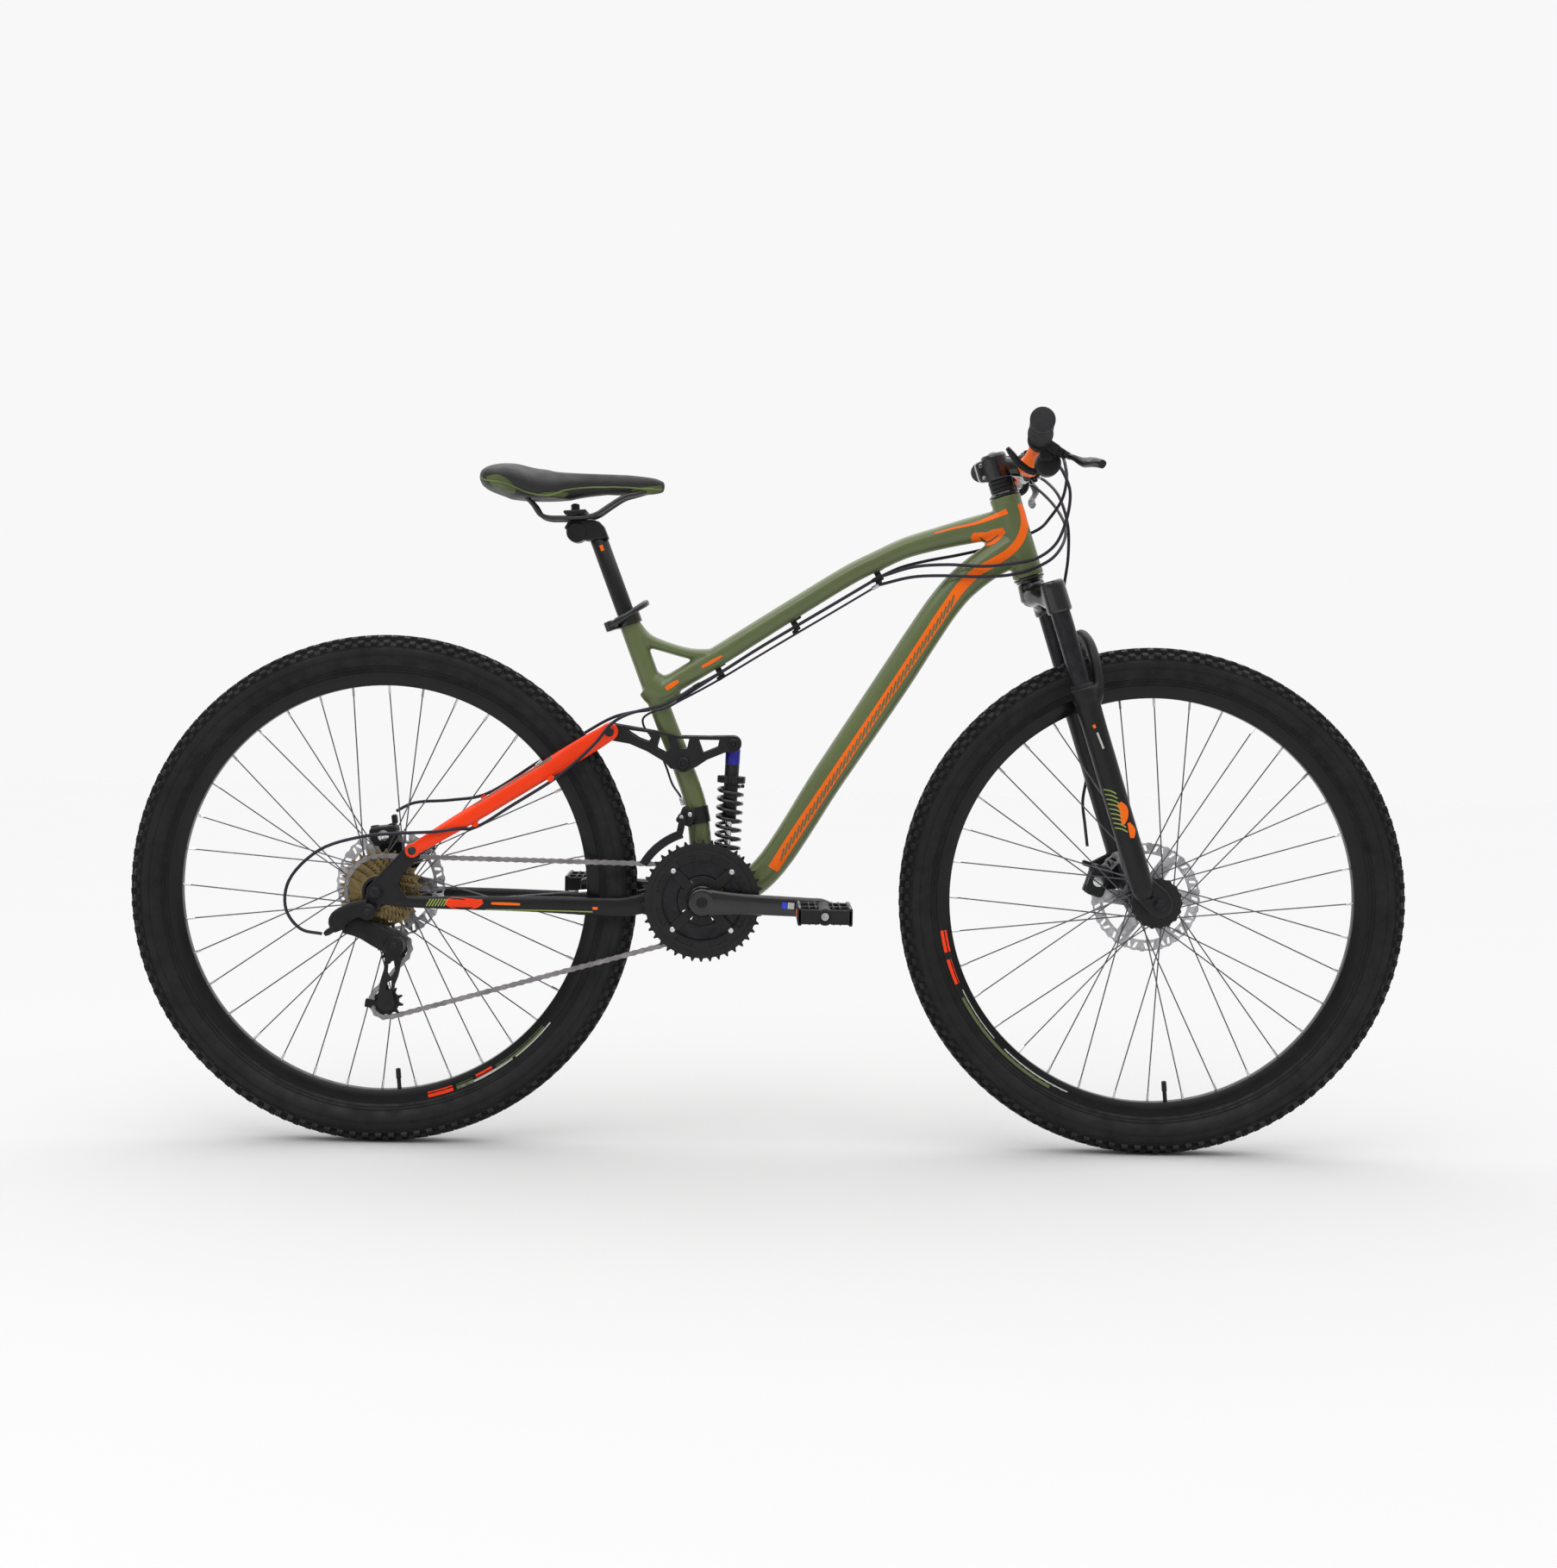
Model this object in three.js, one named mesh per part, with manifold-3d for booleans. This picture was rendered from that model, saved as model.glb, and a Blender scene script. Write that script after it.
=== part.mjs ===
// A full-suspension mountain bike with 29-inch wheels, in millimetres.
// +X points forwards, +Y to the rider's left, +Z up. The origin is on the ground, midway between
// the wheel axles, in the bike's centre plane. The right-hand (drive) side has negative Y.

import * as THREE from 'three';
import { mergeVertices } from 'three/addons/utils/BufferGeometryUtils.js';
import Module from 'manifold-3d';

const wasm = await Module();
wasm.setup();

// ---- driving dimensions -------------------------------------------------------------------

const GAP = 0.3;                       // space between touching pieces
const WHEELBASE = 1105;
const TYRE_RADIUS = 364;
const TYRE_HALF_WIDTH = 26.7;
const RIM_INNER_RADIUS = 291;
const RIM_OUTER_RADIUS = 311;
const RIM_HALF_WIDTH = 12.5;
const SPOKES = 36;
const SPOKE_RADIUS = 1.1;
const FLANGE_RADIUS = 29;
const ROTOR_RADIUS = 80;
const ROTOR_HALF_THICKNESS = 0.9;
const WHEEL_STEPS = 36;

const REAR_AXLE = [-WHEELBASE / 2, TYRE_RADIUS];
const FRONT_AXLE = [WHEELBASE / 2, TYRE_RADIUS];
const CRANK_CENTRE = [-94, 358];
const SWINGARM_PIVOT = [-140, 360];
const STAY_PIVOT = [-502, 424.5];
const ROCKER_REAR = [-231, 594.5];
const ROCKER_PIVOT = [-125, 550.6];
const SHOCK_TOP = [-53.5, 579.5];
const SHOCK_BOTTOM = [-62, 392];

const HEAD_BOTTOM = [368.1, 827.6];
const HEAD_TILT = THREE.MathUtils.degToRad(17.5);
const HEAD_LENGTH = 121;
const HEAD_RADIUS = 22;
const STEERER_RADIUS = 14.3;
const SEAT_TOP = [-211, 762];
const SEAT_TILT = THREE.MathUtils.degToRad(21);
const SEAT_TUBE_RADIUS = 14.5;
const POST_RADIUS = 12.7;

const LEG_Y = 62;                      // fork legs, from the centre plane
const LEG_FORWARD = 20;                // fork legs ahead of the steering axis
const STANCHION_RADIUS = 14;
const LEG_RADIUS = 17.5;
const AXLE_FORWARD = 36.5;             // front axle in the steering frame
const AXLE_DOWN = -497.6;
const FORK_OPENING = 50;
const REAR_OPENING = 67.5;
const AXLE_RADIUS = 5;

const CRANK_LENGTH = 170;
const CRANK_DROP = THREE.MathUtils.degToRad(2);
const CHAIN_Y = -39.5;
const CHAIN_PITCH = 12.7;
const CHAIN_HALF_DEPTH = 4;
const CHAIN_HALF_WIDTH = 3.4;
const OUTER_RING_TEETH = 42;
const MIDDLE_RING_TEETH = 34;
const INNER_RING_TEETH = 24;
const SPROCKET_TEETH = [28, 24, 22, 20, 18, 16, 14];
const SPROCKET_SPACING = 4.9;
const CHAIN_SPROCKET = 1;              // the chain runs on the second-largest sprocket
const PULLEY_TEETH = 11;
const GUIDE_PULLEY = [-531, 282];
const TENSION_PULLEY = [-541, 205];
const HANGER_BOLT = [-562, 338];
const CAGE_PIVOT = [-527, 289];

const BAR_CENTRE = [363, 984.3];
const BAR_HALF_WIDTH = 350;
const BAR_END = [336, 1011.4];

const finishes = {
  olive_paint: [0x4a5a2c, 0.38, 0.1],
  orange_paint: [0xf0481c, 0.4, 0.1],
  black_paint: [0x1b1b1d, 0.42, 0.2],
  black_plastic: [0x161618, 0.62, 0],
  dark_metal: [0x2c2d30, 0.4, 0.7],
  steel: [0xa8a9ab, 0.3, 0.9],
  chrome: [0xc9cacc, 0.15, 1],
  bronze_steel: [0x7b6538, 0.42, 0.8],
  chain_steel: [0x6f7072, 0.4, 0.85],
  rim_black: [0x121214, 0.35, 0.3],
  tyre_rubber: [0x1c1c1d, 0.85, 0],
  grip_rubber: [0x2a2a2b, 0.85, 0],
  saddle_cover: [0x29282a, 0.6, 0],
  cable_housing: [0x1d1c22, 0.5, 0],
};

// ---- solids -------------------------------------------------------------------------------

const vec = (x, y, z) => new THREE.Vector3(x, y, z);
const at = ([x, z], y = 0) => vec(x, y, z);
const pitchRadius = (teeth) => CHAIN_PITCH / (2 * Math.sin(Math.PI / teeth));

function solid(geometry) {
  const bare = geometry.clone();
  bare.deleteAttribute('normal');
  bare.deleteAttribute('uv');
  const merged = mergeVertices(bare, 1e-4);
  const index = merged.index.array;
  const place = merged.attributes.position;
  const corner = (i) => vec().fromBufferAttribute(place, i);
  const triangles = [];
  let volume = 0;
  for (let i = 0; i < index.length; i += 3) {
    const [a, b, c] = [index[i], index[i + 1], index[i + 2]];
    if (a === b || b === c || c === a) continue;
    triangles.push([a, b, c]);
    volume += corner(a).dot(corner(b).cross(corner(c)));
  }
  const facing = volume < 0 ? triangles.map(([a, b, c]) => [a, c, b]) : triangles;
  return new wasm.Manifold(new wasm.Mesh({
    numProp: 3,
    vertProperties: new Float32Array(place.array),
    triVerts: new Uint32Array(facing.flat()),
  }));
}

const join = (first, ...rest) => rest.reduce((sum, next) => sum.add(next), first);
const cut = (body, ...tools) => tools.reduce((left, tool) => left.subtract(tool), body);

function rod(from, to, radius, endRadius = radius, sides = 12) {
  const along = to.clone().sub(from);
  const geometry = new THREE.CylinderGeometry(endRadius, radius, along.length(), sides);
  const turn = new THREE.Quaternion().setFromUnitVectors(vec(0, 1, 0), along.clone().normalize());
  geometry.applyQuaternion(turn);
  geometry.translate(...from.clone().add(to).multiplyScalar(0.5).toArray());
  return solid(geometry);
}

// a rod across the bike at a point of the side view
const cross = (point, fromY, toY, radius, sides = 12) =>
  rod(at(point, fromY), at(point, toY), radius, radius, sides);

function box(centre, size, tilt = 0) {
  const geometry = new THREE.BoxGeometry(...size);
  geometry.rotateY(tilt);
  geometry.translate(...centre);
  return solid(geometry);
}

// a flat outline in the side view, given thickness across the bike
function plate(outline, fromY, toY, holes = []) {
  const shape = new THREE.Shape(outline.map(([x, z]) => new THREE.Vector2(x, z)));
  shape.holes = holes.map((hole) => new THREE.Path(hole.map(([x, z]) => new THREE.Vector2(x, z))));
  const geometry = new THREE.ExtrudeGeometry(shape, { depth: toY - fromY, bevelEnabled: false });
  geometry.rotateX(Math.PI / 2);
  geometry.translate(0, toY, 0);
  return solid(geometry);
}

// a closed profile of [radius, y] points turned about the Y axis
function turned(profile, steps = 18) {
  const points = [...profile, profile[0]].map(([r, y]) => new THREE.Vector2(r, y));
  return solid(new THREE.LatheGeometry(points, steps));
}

const annulus = (inner, outer, fromY, toY, steps) =>
  turned([[inner, fromY], [outer, fromY], [outer, toY], [inner, toY]], steps);

function arc([x, z], radius, fromDegrees, toDegrees, steps = 8) {
  return Array.from({ length: steps + 1 }, (_, i) => {
    const angle = THREE.MathUtils.degToRad(fromDegrees + (toDegrees - fromDegrees) * i / steps);
    return [x + radius * Math.cos(angle), z + radius * Math.sin(angle)];
  });
}

// A tube along a smooth curve through the points. Each point has its own half-width across the
// bike and half-depth, and the section is an ellipse with the given number of sides.
function loft(points, halfWidths, halfDepths, { sides = 8, steps = 1, across = vec(0, 1, 0) } = {}) {
  const curve = new THREE.CatmullRomCurve3(points);
  const round = new THREE.Shape(arc([0, 0], 1, 0, 360 - 360 / sides, sides - 1)
    .map(([x, y]) => new THREE.Vector2(x, y)));
  const spans = points.length - 1;
  const geometry = new THREE.ExtrudeGeometry(round, {
    depth: 1, steps: spans * steps, bevelEnabled: false, curveSegments: 1,
  });
  const sizeAt = (sizes, t) => {
    if (typeof sizes === 'number') return sizes;
    const i = Math.min(Math.floor(t * spans), spans - 1);
    return THREE.MathUtils.lerp(sizes[i], sizes[i + 1], t * spans - i);
  };
  const place = geometry.attributes.position;
  for (let i = 0; i < place.count; i += 1) {
    const t = THREE.MathUtils.clamp(place.getZ(i), 0, 1);
    const ahead = curve.getTangent(t);
    const side = across.clone().addScaledVector(ahead, -across.dot(ahead)).normalize();
    const up = ahead.clone().cross(side);
    const point = curve.getPoint(t)
      .addScaledVector(side, place.getX(i) * sizeAt(halfWidths, t))
      .addScaledVector(up, place.getY(i) * sizeAt(halfDepths, t));
    place.setXYZ(i, point.x, point.y, point.z);
  }
  return solid(geometry);
}

const mirrored = (body) => body.mirror([0, 1, 0]);

function piece(parent, name, finish, body) {
  const mesh = body.getMesh();
  const geometry = new THREE.BufferGeometry();
  geometry.setAttribute('position', new THREE.BufferAttribute(mesh.vertProperties, 3));
  geometry.setIndex(new THREE.BufferAttribute(mesh.triVerts, 1));
  geometry.computeVertexNormals();
  const [color, roughness, metalness] = finishes[finish];
  const made = new THREE.Mesh(geometry, new THREE.MeshStandardMaterial({ color, roughness, metalness }));
  made.name = name;
  parent.add(made);
}

// ---- frames of reference ------------------------------------------------------------------

const bike = new THREE.Group();

// +Z runs up the steering axis and +X forwards from it; the origin is the head tube's lower end
const steering = new THREE.Group();
steering.position.copy(at(HEAD_BOTTOM));
steering.rotation.y = -HEAD_TILT;
bike.add(steering);

// +Z runs up the seat tube; the origin is the centre of its top
const seat = new THREE.Group();
seat.position.copy(at(SEAT_TOP));
seat.rotation.y = -SEAT_TILT;
bike.add(seat);

const onSteeringAxis = (height) => at([
  HEAD_BOTTOM[0] - height * Math.sin(HEAD_TILT),
  HEAD_BOTTOM[1] + height * Math.cos(HEAD_TILT),
]);
const onSeatAxis = (height) => at([
  SEAT_TOP[0] - height * Math.sin(SEAT_TILT),
  SEAT_TOP[1] + height * Math.cos(SEAT_TILT),
]);

// ---- main frame ---------------------------------------------------------------------------

const SEAT_TUBE_LINE = [onSeatAxis(0), onSeatAxis(-140), onSeatAxis(-286),
  vec(-101, 0, 455), vec(-97, 0, 410), at(CRANK_CENTRE)];

const seatTube = (extra = 0) => loft(
  SEAT_TUBE_LINE,
  SEAT_TUBE_RADIUS + extra,
  [0, 0, 0, 1, 1.5, 1.5].map((more) => SEAT_TUBE_RADIUS + extra + more),
  { sides: 12 },
);

function mainFrame() {
  const topTube = loft(
    [vec(338, 0, 905), vec(276, 0, 891), vec(250, 0, 885), vec(190, 0, 866), vec(152, 0, 848),
      vec(115, 0, 829), vec(29, 0, 775), vec(-82, 0, 703), vec(-170, 0, 648)],
    [17, 17, 16.5, 16, 16, 16, 16, 16, 14],
    [22, 19, 17, 15, 14.5, 15, 15, 15, 15],
  );
  const downTube = loft(
    [vec(352, 0, 874), vec(310, 0, 848), vec(271, 0, 815), vec(246, 0, 785), vec(222, 0, 749),
      vec(176, 0, 675), vec(85, 0, 535), vec(-5, 0, 396), vec(-46, 0, 366), at(CRANK_CENTRE)],
    [20, 21, 22, 22, 22, 22, 22, 21, 20, 18],
    [26, 24, 23.5, 23.5, 23.7, 24.2, 23, 21.5, 21, 19],
  );
  const gusset = loft(
    [onSeatAxis(-14), vec(-180, 0, 727), vec(-150, 0, 716), vec(-115, 0, 708), vec(-75, 0, 709)],
    [10, 10, 10, 11, 12], [14, 10, 8, 7, 7], {},
  );
  const headTube = rod(onSteeringAxis(0), onSteeringAxis(HEAD_LENGTH), HEAD_RADIUS, HEAD_RADIUS, 16);
  const shell = cross(CRANK_CENTRE, -36.5, 36.5, 21, 16);
  const pivotBoss = join(
    cross(SWINGARM_PIVOT, -24.5, 24.5, 14),
    plate([[-146, 347], [-146, 373], [-94, 376], [-94, 340]], -22, 22),
  );
  const rockerBoss = cross(ROCKER_PIVOT, -19, 19, 12.5);
  const shockEar = plate(
    [[-80, 364], [-77, 396], ...arc(SHOCK_BOTTOM, 13, 160, 10, 6), [-34, 372], [-50, 358]], 13, 18,
  );
  const shockBolt = cross(SHOCK_BOTTOM, -20, 20, 4, 12);
  const cableStops = [[152, 830], [33, 756.5], [-75, 687.5]].map(([x, z]) =>
    box([x, 0, z], [10, 3, 8], THREE.MathUtils.degToRad(-31)));
  const swingarmAxle = cross(SWINGARM_PIVOT, -35.4, 35.4, 5);
  const rockerAxle = join(
    cross(ROCKER_PIVOT, -30, 30, 6),
    cross(ROCKER_PIVOT, -30, -25.8, 9),
    cross(ROCKER_PIVOT, 25.8, 30, 9),
  );
  const bored = cut(
    join(topTube, downTube, gusset, headTube, seatTube(), shell, pivotBoss, rockerBoss,
      shockEar, mirrored(shockEar), ...cableStops),
    cross(SHOCK_BOTTOM, -13, 13, 14.2, 24),
    rod(onSteeringAxis(-10), onSteeringAxis(HEAD_LENGTH + 10), 17.5, 17.5, 14),
    rod(onSeatAxis(-155), onSeatAxis(5), POST_RADIUS + GAP, POST_RADIUS + GAP, 14),
    cross(CRANK_CENTRE, -40, 40, 17.2, 14),
  );
  return join(bored, shockBolt, swingarmAxle, rockerAxle);
}

function frontDerailleur() {
  const band = cut(
    rod(vec(-107, 0, 484), vec(-103, 0, 463), 18.5, 18.5, 14),
    seatTube(GAP),
  );
  const arm = box([-119, -24, 474], [26, 13, 30]);
  const link = box([-126, -33, 466], [14, 10, 15]);
  return cut(join(band, arm, link), seatTube(GAP));
}

function frontDerailleurCage() {
  const blade = [...arc(CRANK_CENTRE, 92, 108, 150, 7), ...arc(CRANK_CENTRE, 104, 146, 108, 7)];
  const roof = [...arc(CRANK_CENTRE, 100, 108, 132, 4), ...arc(CRANK_CENTRE, 104, 132, 108, 4)];
  return join(
    plate(blade, -35.4, -34),
    plate(blade, -46, -44.6),
    plate(roof, -45, -34.5),
  );
}

piece(bike, 'main_frame', 'olive_paint', mainFrame());
piece(steering, 'headset_upper_cup', 'black_paint', turned([
  [STEERER_RADIUS + GAP, 0], [22.5, 0], [22.5, 3], [19, 6.2], [STEERER_RADIUS + GAP, 6.2],
]).rotate([90, 0, 0]).translate([0, 0, HEAD_LENGTH + GAP]));
piece(steering, 'headset_lower_cup', 'black_paint', turned([
  [STEERER_RADIUS + GAP, -8], [19.5, -8], [22.5, -4], [22.5, -GAP], [STEERER_RADIUS + GAP, -GAP],
]).rotate([90, 0, 0]));
piece(bike, 'bottom_bracket', 'dark_metal', cut(
  cross(CRANK_CENTRE, -37.2, 37.2, 16.9, 14),
  cross(CRANK_CENTRE, -40, 40, 9, 14),
));
piece(bike, 'front_derailleur_body', 'dark_metal', frontDerailleur());
piece(bike, 'front_derailleur_cage', 'dark_metal', frontDerailleurCage());

// ---- seat post, collar and saddle ---------------------------------------------------------

const SADDLE_HEAD = [-284, 880];

function seatCollar() {
  const band = cut(
    rod(vec(0, 0, -15), vec(0, 0, 2), 19, 19, 14),
    rod(vec(0, 0, -16), vec(0, 0, 3), SEAT_TUBE_RADIUS + 1.4, SEAT_TUBE_RADIUS + 1.4, 14),
  );
  const ears = box([-26, 0, -7], [18, 16, 15]);
  const nut = rod(vec(-27, 8, -7), vec(-27, 17, -7), 7, 7, 12);
  return cut(
    join(band, ears, nut),
    rod(vec(0, 0, -16), vec(0, 0, 3), SEAT_TUBE_RADIUS + 1.4, SEAT_TUBE_RADIUS + 1.4, 14),
    box([-24, 0, -7], [24, 2, 20]),
  );
}

function seatClampLever() {
  const cam = rod(vec(-27, -16, -14), vec(-27, -16, 0), 7.5, 7.5, 12);
  const arm = loft(
    [vec(-27, -18, -7), vec(-16, -25, -5), vec(2, -27, -1), vec(18, -20, 3), vec(30, -8, 6), vec(35, 2, 7)],
    [4, 4, 3.5, 3.5, 4, 4], [5, 5, 4, 4, 5, 5], { sides: 6, across: vec(0, 0, 1) },
  );
  return join(cam, arm);
}

function seatPost() {
  const tube = rod(onSeatAxis(-110), onSeatAxis(118), POST_RADIUS, POST_RADIUS, 14);
  const neck = plate(
    [[-268, 868], [-238, 872], [-247, 893], [-262, 899], [-290, 899], [-302, 886], [-292, 876]], -15, 15,
  );
  return join(tube, neck, cross(SADDLE_HEAD, -17, 17, 15, 14));
}

const saddleBody = (extra = 0) => loft(
  [vec(-424.5 - extra, 0, 960), vec(-413, 0, 957), vec(-385, 0, 955), vec(-345, 0, 948), vec(-300, 0, 948),
    vec(-250, 0, 951), vec(-205, 0, 951), vec(-172, 0, 950), vec(-155.5 + extra, 0, 949)],
  [30, 60, 72, 62, 40, 26, 22, 19, 8].map((size) => size + extra),
  [5, 22, 24, 21.5, 18, 15.3, 15, 15, 5].map((size) => size + extra),
  { sides: 12 },
);

function saddleRails() {
  const rail = loft(
    [vec(-376, -40, 938), vec(-346, -27, 919), vec(-328, -22, 901), vec(-308, -22, 899.5),
      vec(-268, -22, 902), vec(-255, -22, 906), vec(-217, -19, 931), vec(-190, -12, 936), vec(-178, -9, 940)],
    3.5, 3.5, { sides: 6 },
  );
  const tie = rod(vec(-196, -14, 935), vec(-196, 14, 935), 3.5, 3.5, 8);
  return cut(join(rail, mirrored(rail), tie), saddleBody(GAP));
}

piece(seat, 'seat_collar', 'black_paint', seatCollar());
piece(seat, 'seat_clamp_lever', 'black_paint', seatClampLever());
piece(bike, 'seatpost', 'black_paint', seatPost());
piece(bike, 'saddle', 'saddle_cover', saddleBody());
piece(bike, 'saddle_rails', 'black_paint', saddleRails());
piece(bike, 'saddle_clamp', 'dark_metal', join(
  box([-286, 0, 908.6], [34, 58, 5], THREE.MathUtils.degToRad(-4)),
  rod(vec(-287, 0, 909), vec(-288, 0, 921), 7, 6, 12),
));

// ---- fork, stem and handlebar -------------------------------------------------------------

const legPoint = (y, height, forward = LEG_FORWARD) => vec(forward, y, height);

function forkUppers() {
  const half = loft(
    [vec(4, 0, -30), vec(8, -24, -30), vec(16, -46, -38), legPoint(-LEG_Y, -44, 19)],
    [22, 21, 19, 18], [16, 15, 17, 20], { across: vec(1, 0, 0) },
  );
  const socket = rod(legPoint(-LEG_Y, -16), legPoint(-LEG_Y, -62), 17, 18, 16);
  const race = rod(vec(0, 0, -8 - GAP), vec(0, 0, -30), 18, 20, 14);
  const steerer = rod(vec(0, 0, -20), vec(0, 0, 181), STEERER_RADIUS, STEERER_RADIUS, 14);
  const spacers = rod(vec(0, 0, 128), vec(0, 0, 145.7), 18, 18, 14);
  const stanchion = rod(legPoint(-LEG_Y, -30), legPoint(-LEG_Y, -300), STANCHION_RADIUS);
  return join(half, mirrored(half), socket, mirrored(socket), race, steerer, spacers,
    stanchion, mirrored(stanchion));
}

function forkLowers() {
  const leg = rod(legPoint(-LEG_Y, -172), legPoint(-LEG_Y, -484), LEG_RADIUS, LEG_RADIUS - 0.5, 14);
  const collar = rod(legPoint(-LEG_Y, -172), legPoint(-LEG_Y, -196), 19.5, 18.5, 14);
  const dropout = cut(
    plate([[4, -455], [36, -455], [54, -485], ...arc([AXLE_FORWARD, AXLE_DOWN], 19, 10, -150, 8), [10, -492]],
      -LEG_Y - 5, -FORK_OPENING - GAP),
    box([AXLE_FORWARD, -55, AXLE_DOWN - 14], [2 * AXLE_RADIUS + 1.2, 30, 28]),
    cross([AXLE_FORWARD, AXLE_DOWN], -70, -40, AXLE_RADIUS + 0.6),
  );
  const side = join(leg, collar, dropout);
  const arch = loft(
    [vec(24, -LEG_Y, -196), vec(43, -60, -172), vec(50, -50, -136), vec(49, -26, -110), vec(48, 0, -104),
      vec(49, 26, -110), vec(50, 50, -136), vec(43, 60, -172), vec(24, LEG_Y, -196)],
    [10, 9, 9, 9, 9, 9, 9, 9, 10], [12, 10, 9, 9, 9, 9, 9, 10, 12],
    { across: vec(1, 0, 0) },
  );
  const brakeTab = plate([[20, -420], [-26, -428], [-32, -446], [-16, -478], [20, -478]], 56 + GAP, 63);
  return cut(
    join(side, mirrored(side), arch, brakeTab),
    rod(legPoint(-LEG_Y, -160), legPoint(-LEG_Y, -400), STANCHION_RADIUS + GAP),
    rod(legPoint(LEG_Y, -160), legPoint(LEG_Y, -400), STANCHION_RADIUS + GAP),
  );
}

function caliper(length, footHeight) {
  const body = box([0, 0, 0], [30, 26, length]);
  const foot = box([-4, 12, 0], [20, 2 * (footHeight - 12), length - 10]);
  const arm = box([-20, 6, length / 2 - 6], [14, 10, 8]);
  return cut(
    join(body, foot, arm),
    box([14, 0, 0], [48, 2 * (ROTOR_HALF_THICKNESS + 0.7), length + 10]),
  );
}

function stem() {
  const clamp = rod(vec(0, 0, 146), vec(0, 0, 181), 19, 19, 16);
  const neck = loft([vec(4, 0, 163), vec(20, 0, 158), vec(36, 0, 152.5)], [15, 14, 17], [15, 14, 15],
    {});
  const bosses = box([-21, 0, 163.5], [18, 20, 32]);
  const barHalf = cross([42.3, 151], -23, 23, 21, 16);
  const topCap = join(
    rod(vec(0, 0, 180), vec(0, 0, 184.5), 18, 16.5, 14),
    rod(vec(0, 0, 184), vec(0, 0, 187), 6, 6, 12),
  );
  return cut(
    join(clamp, neck, bosses, barHalf, topCap),
    rod(vec(0, 0, 120), vec(0, 0, 146), 18 + GAP, 18 + GAP, 18),
    rod(vec(0, 0, 140), vec(0, 0, 181 + GAP), STEERER_RADIUS + GAP, STEERER_RADIUS + GAP, 14),
    cross([42.3, 151], -30, 30, 16.8, 16),
    box([42.3 + 20, 0, 151], [40, 60, 60]),
    box([-26, 0, 163.5], [20, 1.6, 40]),
  );
}

function stemFaceplate() {
  return cut(
    join(cross([42.3, 151], -23, 23, 21, 16), box([47, 0, 151], [12, 46, 46])),
    cross([42.3, 151], -30, 30, 16.8, 16),
    box([42.3 - 20 + GAP, 0, 151], [40, 60, 60]),
  );
}

function handlebar(extra = 0) {
  const [x, z] = BAR_CENTRE;
  const [endX, endZ] = BAR_END;
  const halfLine = [[0, x, z], [26, x, z], [55, x, z + 1], [95, x - 1, z + 10], [140, x - 3, z + 18],
    [230, x - 13, z + 22.5], [BAR_HALF_WIDTH, endX, endZ]];
  const line = [...halfLine.slice(1).reverse().map(([y, px, pz]) => vec(px, -y, pz)),
    ...halfLine.map(([y, px, pz]) => vec(px, y, pz))];
  const half = [15.9, 15.9, 14.5, 12, 11.1, 11.1, 11.1].map((radius) => radius + extra);
  const sizes = [...half.slice(1).reverse(), ...half];
  return loft(line, sizes, sizes, { sides: 12, across: vec(1, 0, 0) });
}

function grip() {
  const [x, z] = BAR_CENTRE;
  const [endX, endZ] = BAR_END;
  const line = (y) => {
    const t = (y - 230) / (BAR_HALF_WIDTH - 230);
    return vec(THREE.MathUtils.lerp(x - 13, endX, t), -y, THREE.MathUtils.lerp(z + 22.5, endZ, t));
  };
  return cut(
    join(
      rod(line(229), line(BAR_HALF_WIDTH), 15.5, 16, 14),
      rod(line(226), line(232), 17.5, 17.5, 14),
      rod(line(BAR_HALF_WIDTH - 5), line(BAR_HALF_WIDTH + 3), 16.8, 16.8, 14),
    ),
    handlebar(GAP),
  );
}

// brake perch and gear shifter in one housing, clamped to the bar
function controlHousing() {
  const clamp = join(
    rod(vec(356, -178, 1004.3), vec(353.5, -196, 1005.5), 16.5, 16.5, 16),
    box([370, -187, 995], [26, 14, 16], THREE.MathUtils.degToRad(33)),
  );
  const barrel = rod(vec(388, -186, 987), vec(391, -158, 986), 5, 4, 10);
  const pivotBlock = box([385, -190, 987], [22, 16, 13], THREE.MathUtils.degToRad(33));
  const pod = join(
    rod(vec(370, -150, 974), vec(370, -178, 974), 18, 17, 14),
    box([365, -182, 986], [18, 12, 26]),
  );
  return cut(
    join(clamp, pivotBlock, barrel, pod),
    handlebar(GAP),
    box([396, -192, 981], [26, 20, 9], THREE.MathUtils.degToRad(33)),
  );
}

function brakeLever() {
  const hub = rod(vec(390.2, -191, 980.1), vec(394.4, -191, 986.7), 7, 7, 12);
  const blade = loft(
    [vec(392, -191, 983), vec(399, -205, 978.5), vec(407, -222, 972), vec(410, -260, 967),
      vec(411, -300, 963), vec(417, -330, 958)],
    [4, 4.5, 5, 5, 5, 5.5], [3.6, 4, 6, 7, 6, 6], { sides: 6, across: vec(0.839, 0, -0.545) },
  );
  return join(hub, blade);
}

function shiftLever() {
  return loft(
    [vec(366, -146, 972), vec(352, -146, 965), vec(335, -148, 974), vec(320, -152, 990), vec(315, -154, 997)],
    [3.4, 4, 5, 7, 5], [6, 5, 5, 5, 4], { sides: 6 },
  );
}

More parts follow.
